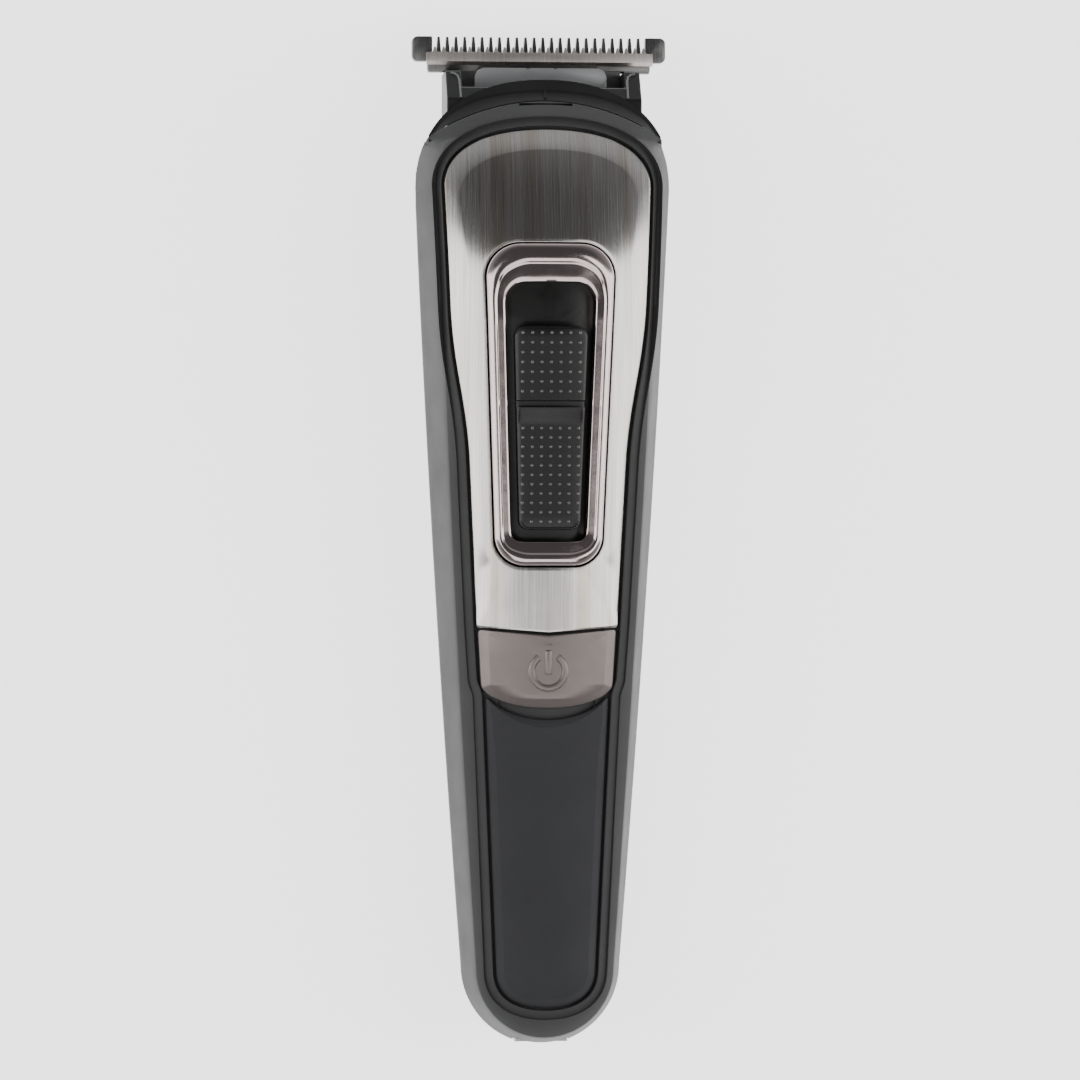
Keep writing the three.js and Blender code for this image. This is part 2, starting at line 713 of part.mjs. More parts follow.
function driveCam() {
  const start = shaftEnd - 3;
  const hub = rodAlongY(camRadius, [start, seatY - 1]);
  const pinEnd = forkTop - forkWeb - partingGap;
  const pin = rodAlongY(drivePinRadius, [seatY - 2, pinEnd], eccentricity, driveHeight, 12);
  return hub.add(pin).subtract(rodAlongY(shaftRadius + partingGap, [start - 1, shaftEnd + 0.5]));
}

function motorBracket() {
  const heights = [cradleTop + partingGap, carriageHeight - partingGap];
  const plate = midBlock(reach, [bracketStart, bracketStart + bracketThickness], heights);
  let body = plate.intersect(housingForm(wall + partingGap + 3));
  body = body.subtract(rodAlongY(bushOuter + partingGap, [motorEnd, bracketStart + bracketThickness + 1]));
  for (const x of motorScrewPlaces) {
    body = body.subtract(rodAlongY(0.7 + partingGap, [motorEnd, bracketStart + 3], x));
  }
  return body;
}

function motorScrew(x) {
  const seat = bracketStart + bracketThickness + 0.1;
  const shank = rodAlongY(0.7, [motorEnd - 1, seat + 0.5], x, driveHeight, 12);
  return shank.add(rodAlongY(motorScrewHead, [seat, seat + 1], x, driveHeight, 12));
}

// Screws driven in from the back
function backScrew(x, y, tip, headBottom) {
  const head = rodAlongZ(screwHeadRadius, x, y, [headBottom, headBottom + screwHeadHeight], 16);
  const slot = block([x - 1.3, y - 0.25, headBottom - 1], [x + 1.3, y + 0.25, headBottom + 0.6]);
  return head.add(rodAlongZ(shankRadius, x, y, [headBottom + 0.5, tip], 12)).subtract(slot);
}

// Head

// Teeth along +Y with straight flanks, as the upper edge of an outline from right to left
function toothEdge(count, root, tip) {
  const points = [];
  for (let i = 0; i < count; i++) {
    const middle = ((count - 1) / 2 - i) * toothPitch;
    points.push([middle + toothWidth / 2, root], [middle + toothTipWidth / 2, tip]);
    points.push([middle - toothTipWidth / 2, tip], [middle - toothWidth / 2, root]);
  }
  return points;
}

function mirroredOutline(right, top) {
  const left = right.map(([x, y]) => [-x, y]).reverse();
  return [...right, ...top, ...left].map((point) => new THREE.Vector2(...point));
}

function bladeScrewHole(side, top) {
  return rodAlongZ(shankRadius + partingGap, side * bladeScrewX, bladeScrewY, [0, top], 12);
}

function combBlade() {
  const right = [
    [bladeNeckHalfWidth, bladeNeckBottom], [bladeNeckHalfWidth, combBottom], [combHalfWidth, combBottom],
    [combHalfWidth, lugBottom - 0.4], [lugHalfWidth - 0.5, lugBottom], [lugHalfWidth, lugBottom + 0.6],
    [lugHalfWidth, overallLength - 0.9], [lugHalfWidth - 0.8, overallLength],
    [lugInside + 0.5, overallLength], [lugInside, overallLength - 0.6], [lugInside, combRoot],
  ];
  const edge = toothEdge(toothCount, combRoot, overallLength);
  let blade = prism(mirroredOutline(right, edge), combHeight, combHeight + combThickness);
  for (const side of [-1, 1]) {
    blade = blade.subtract(bladeScrewHole(side, reach));
  }
  return blade;
}

function cutterBlade() {
  const right = [
    [cutterTongueHalfWidth, bladeNeckBottom], [cutterTongueHalfWidth, cutterBottom],
    [cutterHalfWidth, cutterBottom], [cutterHalfWidth, cutterRoot],
  ];
  const edge = toothEdge(toothCount, cutterRoot, cutterTip);
  const blade = prism(mirroredOutline(right, edge), cutterHeight, cutterHeight + cutterThickness);
  // room for the blade screws, which stand still while the cutter moves
  const room = shankRadius + partingGap + cutterStroke;
  const notch = (side) => block(
    [Math.min(side * (bladeScrewX - room), side * reach), bladeNeckBottom - 1, 0],
    [Math.max(side * (bladeScrewX - room), side * reach), bladeScrewY + 2.4, reach],
  );
  return blade.subtract(notch(1)).subtract(notch(-1));
}

function driveFork() {
  const heights = [coverHeight, driveHeight + eccentricity + drivePinRadius + 0.4];
  const fork = midBlock(forkHalfWidth, [bladeNeckBottom + 0.3, forkTop], heights);
  return fork.subtract(midBlock(forkGap, [0, forkTop - forkWeb], [0, reach]));
}

function coverPlate() {
  const room = forkHalfWidth + cutterStroke + partingGap;
  const right = [
    [room, bladeNeckBottom], [bladeNeckHalfWidth, bladeNeckBottom],
    [bladeNeckHalfWidth, carrierBlockTop - 1.5],
    [coverHalfWidth, carrierBlockTop], [coverHalfWidth, coverTop - 1.4], [coverHalfWidth - 0.4, coverTop - 0.4],
    [coverHalfWidth - 1.4, coverTop],
  ];
  const clearOfFork = [-room, room].map((x) => new THREE.Vector2(x, forkTop + partingGap));
  const points = [...mirroredOutline(right, []), ...clearOfFork];
  let plate = prism(points, coverHeight, coverHeight + coverThickness);
  for (const side of [-1, 1]) {
    plate = plate.subtract(bladeScrewHole(side, reach));
  }
  return plate;
}

function headCarrier() {
  const front = hoodHeight - partingGap;
  const start = seatY + partingGap;
  let body = midBlock(carrierHalfWidth, [start, carrierTop], [combHeight, front]);
  body = body.subtract(midBlock(cheekInside, [carrierBaseTop, carrierTop + 1], [0, carrierFront]));
  body = body.subtract(midBlock(cheekInside, [carrierBlockTop, carrierTop + 1], [0, reach]));
  const forkRoom = forkHalfWidth + cutterStroke + partingGap;
  const forkRoomTop = driveHeight + eccentricity + drivePinRadius + 0.4 + partingGap;
  body = body.subtract(midBlock(forkRoom, [start - 1, forkTop + partingGap], [driveHeight - 3, forkRoomTop]));
  // the front slopes down towards the teeth
  const slope = new THREE.BoxGeometry(2 * reach, 20, 10);
  slope.translate(0, 10, 5);
  slope.rotateX(-carrierSlope);
  slope.translate(0, carrierBlockTop - 2, front);
  body = body.subtract(solidOf(slope));
  for (const side of [-1, 1]) {
    const low = [side * tongueX - tongueHalfWidth, start - tongueLength, driveHeight - tongueHalfWidth];
    body = body.add(block(low, [side * tongueX + tongueHalfWidth, start + 1, driveHeight + tongueHalfWidth]));
    body = body.subtract(bladeScrewHole(side, carrierFront + 3.3));
  }
  return body;
}

// Springs

// fills the room between the board and the underside of the button
const buttonSpringLength = () => frontHeight(buttonCornerY) - wall - 1 - switchBase - 0.5;

function placedCoil(geometry, place) {
  place(geometry);
  return solidOf(geometry);
}

const buttonSpring = () => placedCoil(coil(4.2, 0.3, buttonSpringLength(), 2), (geometry) => {
  geometry.translate(0, switchY, switchBase);
});

const sliderSpring = () => placedCoil(coil(1, 0.2, sliderSpringLength, 6), (geometry) => {
  geometry.rotateX(-Math.PI / 2);
  geometry.translate(0, sliderSpringStart, springHeight);
});

// The assembly: one group for each rigid body

function piece(name, solid, material) {
  const { vertProperties, triVerts } = solid.getMesh();
  const geometry = new THREE.BufferGeometry();
  geometry.setAttribute('position', new THREE.BufferAttribute(new Float32Array(vertProperties), 3));
  geometry.setIndex(new THREE.BufferAttribute(new Uint32Array(triVerts), 1));
  geometry.computeVertexNormals();
  const mesh = new THREE.Mesh(geometry, material());
  mesh.name = name;
  return mesh;
}

function assembly(...pieces) {
  const body = new THREE.Group();
  body.add(...pieces);
  return body;
}

const housing = assembly(
  piece('front_shell', frontShell(), blackPlastic),
  piece('rear_shell', rearShell(), blackPlastic),
  piece('head_mount', headMount(), blackPlastic),
  piece('steel_faceplate', steelFaceplate(), brushedSteel),
  piece('slider_bezel', sliderBezel(), roseGunmetal),
  piece('slot_floor', slotFloor(), softBlack),
  piece('lower_grip_panel', lowerPanel(), softBlack),
  piece('chassis', chassis(), whitePlastic),
  piece('battery_cell', batteryCell(), cellWrap),
  piece('battery_contact_rear', batteryContact(cellStart - partingGap - contactThickness), brass),
  piece('battery_contact_front', batteryContact(cellStart + cellLength + partingGap), brass),
  piece('circuit_board', circuitBoard(), boardGreen),
  piece('switch_body', switchBody(), satinSilver),
  piece('status_light', statusLight(), whitePlastic),
  piece('charge_socket', chargeSocket(), satinSilver),
  piece('motor_can', motorCan(), satinSilver),
  piece('motor_end_cap', motorEndCap(), whitePlastic),
  piece('motor_bush_rear', bush(motorStart), brass),
  piece('motor_bush_front', bush(motorEnd - bushLength + 1), brass),
  piece('motor_bracket', motorBracket(), darkSteel),
  ...motorScrewPlaces.map((x, i) => piece(`motor_screw_${i + 1}`, motorScrew(x), satinSilver)),
  ...housingScrews.map(([x, y, seat], i) => {
    const screw = backScrew(x, y, screwTipHeight, seat - partingGap - screwHeadHeight);
    return piece(`housing_screw_${i + 1}`, screw, satinSilver);
  }),
  piece('button_spring', buttonSpring(), satinSilver),
  piece('slider_spring', sliderSpring(), satinSilver),
);

const rotor = assembly(
  piece('motor_shaft', motorShaft(), darkSteel),
  piece('motor_armature', armature(), copper),
  piece('drive_cam', driveCam(), whitePlastic),
);

const slider = assembly(
  piece('thumb_slider', thumbSlider(), softBlack),
  piece('slider_carriage', sliderCarriage(), whitePlastic),
);

const head = assembly(
  piece('head_carrier', headCarrier(), blackPlastic),
  piece('comb_blade', combBlade(), darkSteel),
  piece('cutter_cover_plate', coverPlate(), satinSilver),
  ...[-1, 1].map((side, i) => {
    const headBottom = combHeight - partingGap - screwHeadHeight;
    const screw = backScrew(side * bladeScrewX, bladeScrewY, carrierFront + 3, headBottom);
    return piece(`blade_screw_${i + 1}`, screw, satinSilver);
  }),
);

const cutter = assembly(
  piece('cutter_blade', cutterBlade(), warmSteel),
  piece('drive_fork', driveFork(), whitePlastic),
);

const button = assembly(piece('power_button', powerButton(), taupeMetal));
const plunger = assembly(piece('switch_plunger', switchPlunger(), softBlack));

const trimmer = new THREE.Group();
trimmer.add(housing, rotor, slider, head, cutter, button, plunger);
trimmer.position.y = -overallLength / 2;
trimmer.updateMatrixWorld(true);

export default trimmer;
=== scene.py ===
import math
import bmesh
import bpy
from mathutils import Matrix, Vector
from mathutils.geometry import interpolate_bezier


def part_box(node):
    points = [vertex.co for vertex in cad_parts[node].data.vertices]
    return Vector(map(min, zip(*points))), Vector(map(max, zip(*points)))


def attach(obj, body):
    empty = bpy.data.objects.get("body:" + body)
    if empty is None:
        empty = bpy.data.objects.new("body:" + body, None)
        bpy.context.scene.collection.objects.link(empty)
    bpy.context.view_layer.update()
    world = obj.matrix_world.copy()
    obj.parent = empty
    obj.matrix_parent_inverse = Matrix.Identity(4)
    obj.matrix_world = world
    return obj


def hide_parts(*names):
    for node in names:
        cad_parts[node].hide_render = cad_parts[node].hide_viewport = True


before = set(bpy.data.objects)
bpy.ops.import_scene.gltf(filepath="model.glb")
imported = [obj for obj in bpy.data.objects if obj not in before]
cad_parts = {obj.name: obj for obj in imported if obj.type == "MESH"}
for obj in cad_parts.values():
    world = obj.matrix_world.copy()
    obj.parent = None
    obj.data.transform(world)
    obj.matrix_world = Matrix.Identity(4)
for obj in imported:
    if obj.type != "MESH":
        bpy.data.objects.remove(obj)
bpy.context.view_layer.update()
print("frame loaded")

# The trimmer lies on its back: +X across, +Y towards the teeth, +Z out of the front.
# Every piece is shaped in millimetres, with Y measured from the butt end, and moved into the frame last.
mm = 0.001
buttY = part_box("rear_shell")[0].y
intoFrame = Matrix.Translation((0, buttY, 0)) @ Matrix.Scale(mm, 4)


# ---- form of the housing

body = {
    "length": 152.3,  # butt end to the top of the head mount
    "buttRadius": 12.6,
    "shoulderHalfWidth": 20.15,
    "shoulderY": 135.3,
    "sideBow": 0.27,
    "archPower": 2.25,
    "creaseShare": 0.865,  # front face over the whole width
    "creaseHeight": 0.7,  # share of the rise that the side facet takes
    "backFlatHalfWidth": 6.3,  # flat spine it lies on
    "seatY": 142.7,  # end face that the head sits on
    "hoodHeight": 20.0,
    "gap": 0.3,
}


def smoothStep(low, high, value):
    # also falls, where low is the larger
    t = min(1.0, max(0.0, (value - low) / (high - low)))
    return t * t * (3 - 2 * t)


def blendLow(a, b, width):
    return min(a, b) - max(width - abs(a - b), 0) ** 2 / (4 * width)


def halfWidthAt(y):
    if y < body["buttRadius"]:
        return math.sqrt(max(0, body["buttRadius"] ** 2 - (body["buttRadius"] - y) ** 2))
    if y < body["shoulderY"]:
        along = (y - body["buttRadius"]) / (body["shoulderY"] - body["buttRadius"])
        growth = body["shoulderHalfWidth"] - body["buttRadius"]
        return body["buttRadius"] + growth * (along + body["sideBow"] * along * (1 - along))
    rise = min(1, (y - body["shoulderY"]) / (body["length"] - body["shoulderY"]))
    return body["shoulderHalfWidth"] * (1 - rise ** body["archPower"]) ** (1 / body["archPower"])


def partingHeight(y):
    return 12 + 3.5 * y / 115


def frontRise(y):
    along = min(1, max(0, y - 20) / 95)
    past = max(0, y - 118) / (body["length"] - 118)
    return 11 + 3.8 * along**2 - 8.8 * past**1.8


def backHeight(y):
    butt = 5 * max(0, 1 - y / 25) ** 2
    nose = 8.5 * max(0, (y - 118) / (body["length"] - 118)) ** 1.5
    return butt + nose


def edgeReach(x, y):
    # how far the outline is from the spine, and how far the point is inside the outline
    if y < body["buttRadius"]:
        return body["buttRadius"], body["buttRadius"] - math.hypot(x, body["buttRadius"] - y)
    if y < body["shoulderY"]:
        return halfWidthAt(y), halfWidthAt(y) - abs(x)
    out = math.hypot(x, y - body["shoulderY"]) or 1e-6
    across = abs(x) / out / body["shoulderHalfWidth"]
    up = (y - body["shoulderY"]) / out / (body["length"] - body["shoulderY"])
    reach = 1 / (across ** body["archPower"] + up ** body["archPower"]) ** (1 / body["archPower"])
    return reach, reach - out


def faceHeight(x, y):
    # the front of the housing: a side facet that rolls into a crowned face
    reach, inside = edgeReach(x, y)
    facet = reach * (1 - body["creaseShare"])
    rise = frontRise(y)
    low = partingHeight(y)
    edge = low + (body["hoodHeight"] + 0.2 - low) * smoothStep(142.0, 143.0, y)
    crease = low + rise * body["creaseHeight"]
    share = (reach - inside) / (reach - facet)
    crown = low + rise * (1 - (1 - body["creaseHeight"]) * share**2)
    side = edge + (crease - edge) * inside / facet
    return blendLow(crown, side, 1.2 + 3.0 * smoothStep(85, 125, y))


# ---- outlines, drawn up the right-hand side and mirrored


def line(a, b, count=12):
    return [Vector(a).lerp(Vector(b), i / count) for i in range(count)]


def curve(a, b, c, d, count=16):
    return interpolate_bezier(Vector(a), Vector(b), Vector(c), Vector(d), count + 1)[:-1]


def mirrored(right, last):
    points = [Vector((p.x, p.y)) for p in right] + [Vector(last)]
    left = [Vector((-p.x, p.y)) for p in reversed(points) if p.x > 1e-6]
    return points + left


def roundedOutline(top, topHalf, bottom, bottomHalf, topCorner, bottomCorner):
    k = 0.45
    right = line((0, bottom), (bottomHalf - bottomCorner, bottom), 10)
    right += curve(
        (bottomHalf - bottomCorner, bottom), (bottomHalf - bottomCorner * k, bottom),
        (bottomHalf, bottom + bottomCorner * k), (bottomHalf, bottom + bottomCorner),
    )
    right += line((bottomHalf, bottom + bottomCorner), (topHalf, top - topCorner), 60)
    right += curve(
        (topHalf, top - topCorner), (topHalf, top - topCorner * k),
        (topHalf - topCorner * k, top), (topHalf - topCorner, top),
    )
    right += line((topHalf - topCorner, top), (0, top), 10)
    return mirrored(right, (0, top))


def plateOutline():
    right = line((0, 65.5), (10.6, 66.3), 14)
    right += curve((10.6, 66.3), (10.9, 66.35), (11.05, 66.5), (11.08, 66.9), 6)
    right += line((11.08, 66.9), (12.4, 93), 40)
    right += curve((12.4, 93), (13.1, 103), (15.0, 107), (15.4, 117), 40)
    right += line((15.4, 117), (16.2, 135.3), 26)
    right += curve((16.2, 135.3), (16.2, 140.3), (11.2, 144.3), (0, 144.3), 48)
    return mirrored(right, (0, 144.3))


def buttonOutline():
    right = curve((0, 53.7), (4.9, 53.7), (8.4, 54.9), (10.0, 56.5), 24)
    right += curve((10.0, 56.5), (10.3, 56.8), (10.42, 57.2), (10.45, 57.7), 6)
    right += line((10.45, 57.7), (10.88, 65.4), 14)
    right += curve((10.88, 65.4), (10.9, 65.8), (10.7, 66.0), (10.3, 65.95), 6)
    right += line((10.3, 65.95), (0, 65.1), 14)
    return mirrored(right, (0, 65.1))


def panelOutline():
    right = curve((0, 6.7), (4.2, 6.7), (7.5, 8.2), (7.8, 12.2), 30)
    right += line((7.8, 12.2), (9.66, 54.6), 60)
    right += curve((9.66, 54.6), (9.7, 55.3), (9.5, 55.5), (9.1, 55.1), 8)
    right += curve((9.1, 55.1), (7.2, 53.2), (4.0, 51.9), (0, 51.9), 24)
    return mirrored(right, (0, 51.9))


def pocketOutline():
    # the sunk seat that holds panel, button and plate, a gap wider than they are
    g = 0.45
    right = curve((0, 6.7 - g), (4.5, 6.7 - g), (7.6 + g, 7.9), (7.8 + g, 12.2), 30)
    right += line((7.8 + g, 12.2), (9.7 + g, 55.5), 64)
    right += curve((9.7 + g, 55.5), (9.9 + g, 57), (10.4 + g, 57.4), (10.5 + g, 58.5), 8)
    right += line((10.5 + g, 58.5), (11.08 + g, 66.9), 14)
    right += line((11.08 + g, 66.9), (12.4 + g, 93), 40)
    right += curve((12.4 + g, 93), (13.1 + g, 103), (15.0 + g, 107), (15.4 + g, 117), 40)
    right += line((15.4 + g, 117), (16.2 + g, 135.3), 26)
    right += curve((16.2 + g, 135.3), (16.2 + g, 140.5), (11.4, 144.3 + g), (0, 144.3 + g), 48)
    return mirrored(right, (0, 144.3 + g))


bezelOutline = roundedOutline(126.0, 9.97, 76.0, 8.45, 5.2, 4.6)
slotOutline = roundedOutline(120.1, 7.1, 79.8, 5.9, 3.2, 1.6)
sliderOutline = roundedOutline(113.2, 5.7, 81.6, 4.8, 1.7, 1.5)


def reachAlong(outline, start, direction):
    # distance from a point to an outline, along a direction
    best = None
    for a, b in zip(outline, outline[1:] + outline[:1]):
        edge = b - a
        cross = direction.cross(edge)
        if abs(cross) < 1e-9:
            continue
        distance = (a - start).cross(edge) / cross
        along = (a - start).cross(direction) / cross
        if distance > 0 and -1e-6 <= along <= 1 + 1e-6 and (best is None or distance < best):
            best = distance
    return best


# ---- making pieces


def piece(bm, name, material, rides, replaces=(), sharp=35):
    # moves a finished shape from millimetres into the frame and hands it to the body it moves with
    bmesh.ops.remove_doubles(bm, verts=bm.verts[:], dist=1e-4)
    bmesh.ops.dissolve_degenerate(bm, dist=1e-5, edges=bm.edges[:])
    bmesh.ops.recalc_face_normals(bm, faces=bm.faces[:])
    flat = bm.loops.layers.uv.new("flat")
    for face in bm.faces:
        for loop in face.loops:
            loop[flat].uv = (loop.vert.co.x / 100 + 0.5, loop.vert.co.y / 100)
    bmesh.ops.transform(bm, matrix=intoFrame, verts=bm.verts[:])
    mesh = bpy.data.meshes.new(name)
    bm.to_mesh(mesh)
    bm.free()
    mesh.shade_smooth()
    mesh.set_sharp_from_angle(angle=math.radians(sharp))
    mesh.materials.append(material)
    made = bpy.data.objects.new(name, mesh)
    bpy.context.scene.collection.objects.link(made)
    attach(made, rides)
    if replaces:
        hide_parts(*replaces)
    return made


def newEdges(made):
    verts = {v for v in made if isinstance(v, bmesh.types.BMVert)}
    edges = [e for e in made if isinstance(e, bmesh.types.BMEdge) and set(e.verts) <= verts]
    return verts, edges


def one(*places):
    return 1


def hoops(outline, spine, rows, inner=None, height=faceHeight, closed=True, stretch=one, fade=one):
    # hoops over a crowned face, one for each row (share, inwards, lift, faded lift): share runs from the
    # outline to the spine, or to a second outline where there is one
    bm = bmesh.new()
    ray = bm.verts.layers.int.new("ray")
    verts = bmesh.ops.create_circle(bm, segments=len(outline), radius=1)["verts"]
    starts = [Vector((0, min(spine[1], max(spine[0], p.y)))) for p in outline]
    ends = starts
    if inner:
        directions = [(p - s).normalized() for p, s in zip(outline, starts)]
        ends = [s + d * reachAlong(inner, s, d) for s, d in zip(starts, directions)]

    def place(vert, row):
        share, inwards, lift, *sunk = row
        out, end = outline[vert[ray]], ends[vert[ray]]
        flat = out.lerp(end, share) + (end - out).normalized() * inwards * stretch(share, out, end)
        lift += sunk[0] * fade(out) if sunk else 0
        vert.co = (flat.x, flat.y, height(flat.x, flat.y) + lift)

    for i, vert in enumerate(verts):
        vert[ray] = i
        place(vert, rows[0])
    first = edges = bm.edges[:]
    for row in rows[1:]:
        new, edges = newEdges(bmesh.ops.extrude_edge_only(bm, edges=edges)["geom"])
        for vert in new:
            place(vert, row)
    if inner and closed:
        bmesh.ops.bridge_loops(bm, edges=first + edges)
    elif closed:
        bmesh.ops.holes_fill(bm, edges=first, sides=0)
    return bm


def roll(share, radius, top, inwards=0.0, count=5):
    # rows that turn from a side wall over into the top
    turns = [math.pi / 2 * i / count for i in range(count + 1)]
    return [(share, inwards + radius * (1 - math.cos(t)), top - radius * (1 - math.sin(t))) for t in turns]


def slab(points, low, high, bevel=0.0, segments=3):
    # a flat outline raised between two heights, with its rims rolled
    bm = bmesh.new()
    face = bm.faces.new([bm.verts.new((p[0], p[1], low)) for p in points])
    up = newEdges(bmesh.ops.extrude_face_region(bm, geom=[face])["geom"])[0]
    bmesh.ops.translate(bm, vec=(0, 0, high - low), verts=list(up))
    bmesh.ops.recalc_face_normals(bm, faces=bm.faces[:])
    if bevel:
        rims = [e for e in bm.edges if abs(e.verts[0].co.z - e.verts[1].co.z) < 1e-6]
        rollEdges(bm, rims, bevel, segments)
    return bm


def rollEdges(bm, edges, width, segments=3):
    bmesh.ops.bevel(
        bm, geom=edges, offset=width, segments=segments, profile=0.5, affect="EDGES", material=-1,
        offset_type="OFFSET", clamp_overlap=True,
    )


def sharpEdges(bm, angle=30):
    limit = math.radians(angle)
    return [e for e in bm.edges if len(e.link_faces) == 2 and e.calc_face_angle(0) > limit]


def cutAcross(bm, normal, places):
    # straight cuts through a piece, so that it can bend
    normal = Vector(normal)
    for place in places:
        geometry = bm.verts[:] + bm.edges[:] + bm.faces[:]
        bmesh.ops.bisect_plane(bm, geom=geometry, plane_co=normal * place, plane_no=normal, dist=1e-5)


def spread(low, high, step):
    count = max(1, round((high - low) / step))
    return [low + (high - low) * i / count for i in range(1, count)]


def block(low, high, bevel=0.0, segments=3):
    bm = bmesh.new()
    bmesh.ops.create_cube(bm, size=1)
    size = Vector(high) - Vector(low)
    bmesh.ops.scale(bm, vec=size, verts=bm.verts[:])
    bmesh.ops.translate(bm, vec=Vector(low) + size / 2, verts=bm.verts[:])
    if bevel:
        rollEdges(bm, bm.edges[:], bevel, segments)
    return bm


def rod(radius, low, high, segments=48):
    # a round bar between two points
    bm = bmesh.new()
    span = Vector(high) - Vector(low)
    bmesh.ops.create_cone(
        bm, cap_ends=True, segments=segments, radius1=radius, radius2=radius, depth=span.length
    )
    turn = Vector((0, 0, 1)).rotation_difference(span.normalized()).to_matrix()
    bmesh.ops.rotate(bm, cent=(0, 0, 0), matrix=turn, verts=bm.verts[:])
    bmesh.ops.translate(bm, vec=(Vector(low) + Vector(high)) / 2, verts=bm.verts[:])
    return bm


def joined(parts):
    bm = bmesh.new()
    for part in parts:
        mesh = bpy.data.meshes.new("part")
        part.to_mesh(mesh)
        part.free()
        bm.from_mesh(mesh)
        bpy.data.meshes.remove(mesh)
    return bm


def asObject(bm, name):
    mesh = bpy.data.meshes.new(name)
    bm.to_mesh(mesh)
    bm.free()
    made = bpy.data.objects.new(name, mesh)
    bpy.context.scene.collection.objects.link(made)
    return made


def applied(target, helpers=()):
    # the shape that an object's modifiers make, as a bmesh
    graph = bpy.context.evaluated_depsgraph_get()
    result = bpy.data.meshes.new_from_object(target.evaluated_get(graph))
    bm = bmesh.new()
    bm.from_mesh(result)
    bpy.data.meshes.remove(result)
    for used in [target, *helpers]:
        mesh = used.data
        bpy.data.objects.remove(used)
        bpy.data.meshes.remove(mesh)
    return bm


def cutWith(base, cutters, operation="DIFFERENCE"):
    for bm in [base, *cutters]:
        bmesh.ops.recalc_face_normals(bm, faces=bm.faces[:])
    target = asObject(base, "target")
    tools = [asObject(cutter, "tool") for cutter in cutters]
    for tool in tools:
        cut = target.modifiers.new("cut", "BOOLEAN")
        cut.object, cut.operation, cut.solver = tool, operation, "EXACT"
    return applied(target, tools)


def thickened(bm, thickness):
    # gives an open skin its wall, on the inside
    bmesh.ops.remove_doubles(bm, verts=bm.verts[:], dist=1e-4)
    bmesh.ops.recalc_face_normals(bm, faces=bm.faces[:])
    target = asObject(bm, "skin")
    wall = target.modifiers.new("wall", "SOLIDIFY")
    wall.thickness, wall.offset = thickness, -1
    return applied(target)


def copyOf(node):
    # a merged copy of a CAD node's mesh, in millimetres from the butt end
    bm = bmesh.new()
    bm.from_mesh(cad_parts[node].data)
    bmesh.ops.transform(bm, matrix=intoFrame.inverted(), verts=bm.verts[:])
    bmesh.ops.remove_doubles(bm, verts=bm.verts[:], dist=1e-3)
    bmesh.ops.dissolve_limit(
        bm, angle_limit=math.radians(1), use_dissolve_boundaries=False, verts=bm.verts[:], edges=bm.edges[:]
    )
    return bm


# ---- finishes


class Finish:
    # a material's nodes, wired as they are asked for
    def __init__(self, name):
        self.material = bpy.data.materials.new(name)
        self.material.use_nodes = True
        self.tree = self.material.node_tree
        self.shader = self.tree.nodes["Principled BSDF"]

    def add(self, kind, **inputs):
        node = self.tree.nodes.new(kind)
        for key, value in inputs.items():
            socket = next(s for s in node.inputs if s.name.replace(" ", "") == key)
            if isinstance(value, bpy.types.NodeSocket):
                self.tree.links.new(value, socket)
            else:
                socket.default_value = value
        return node

    def set(self, **inputs):
        for key, value in inputs.items():
            socket = next(s for s in self.shader.inputs if s.name.replace(" ", "") == key)
            if isinstance(value, bpy.types.NodeSocket):
                self.tree.links.new(value, socket)
            else:
                socket.default_value = value

    def place(self, scale=(1, 1, 1)):
        coordinates = self.add("ShaderNodeTexCoord").outputs["Object"]
        return self.add("ShaderNodeMapping", Vector=coordinates, Scale=scale).outputs["Vector"]

    def noise(self, scale, detail=3.0, stretch=(1, 1, 1), roughness=0.55):
        return self.add(
            "ShaderNodeTexNoise", Vector=self.place(stretch), Scale=scale, Detail=detail, Roughness=roughness
        ).outputs["Fac"]

    def ramp(self, factor, low, high, start=0.3, end=0.7):
        node = self.add("ShaderNodeValToRGB", Fac=factor)
        node.color_ramp.elements[0].position, node.color_ramp.elements[0].color = start, low
        node.color_ramp.elements[1].position, node.color_ramp.elements[1].color = end, high
        return node.outputs["Color"]

    def span(self, factor, low, high, start=0.3, end=0.7):
        return self.add(
            "ShaderNodeMapRange", Value=factor, FromMin=start, FromMax=end, ToMin=low, ToMax=high
        ).outputs["Result"]

    def bump(self, factor, distance, strength=1.0):
        bumped = self.add("ShaderNodeBump", Height=factor, Strength=strength, Distance=distance)
        self.set(Normal=bumped.outputs["Normal"])


def tone(r, g, b):
    return (r, g, b, 1)


def moulded(name, dark, light, rough=(0.38, 0.5), grain=2600, depth=6e-6, specular=0.5):
    # moulded plastic: a fine spark texture, slow drift in shade and gloss
    made = Finish(name)
    slow = made.noise(55, 4)
    made.set(BaseColor=made.ramp(slow, tone(*dark), tone(*light)))
    made.set(Roughness=made.span(made.noise(160, 5), *rough))
    made.bump(made.noise(grain, 2), depth)
    made.set(SpecularIORLevel=specular)
    return made.material


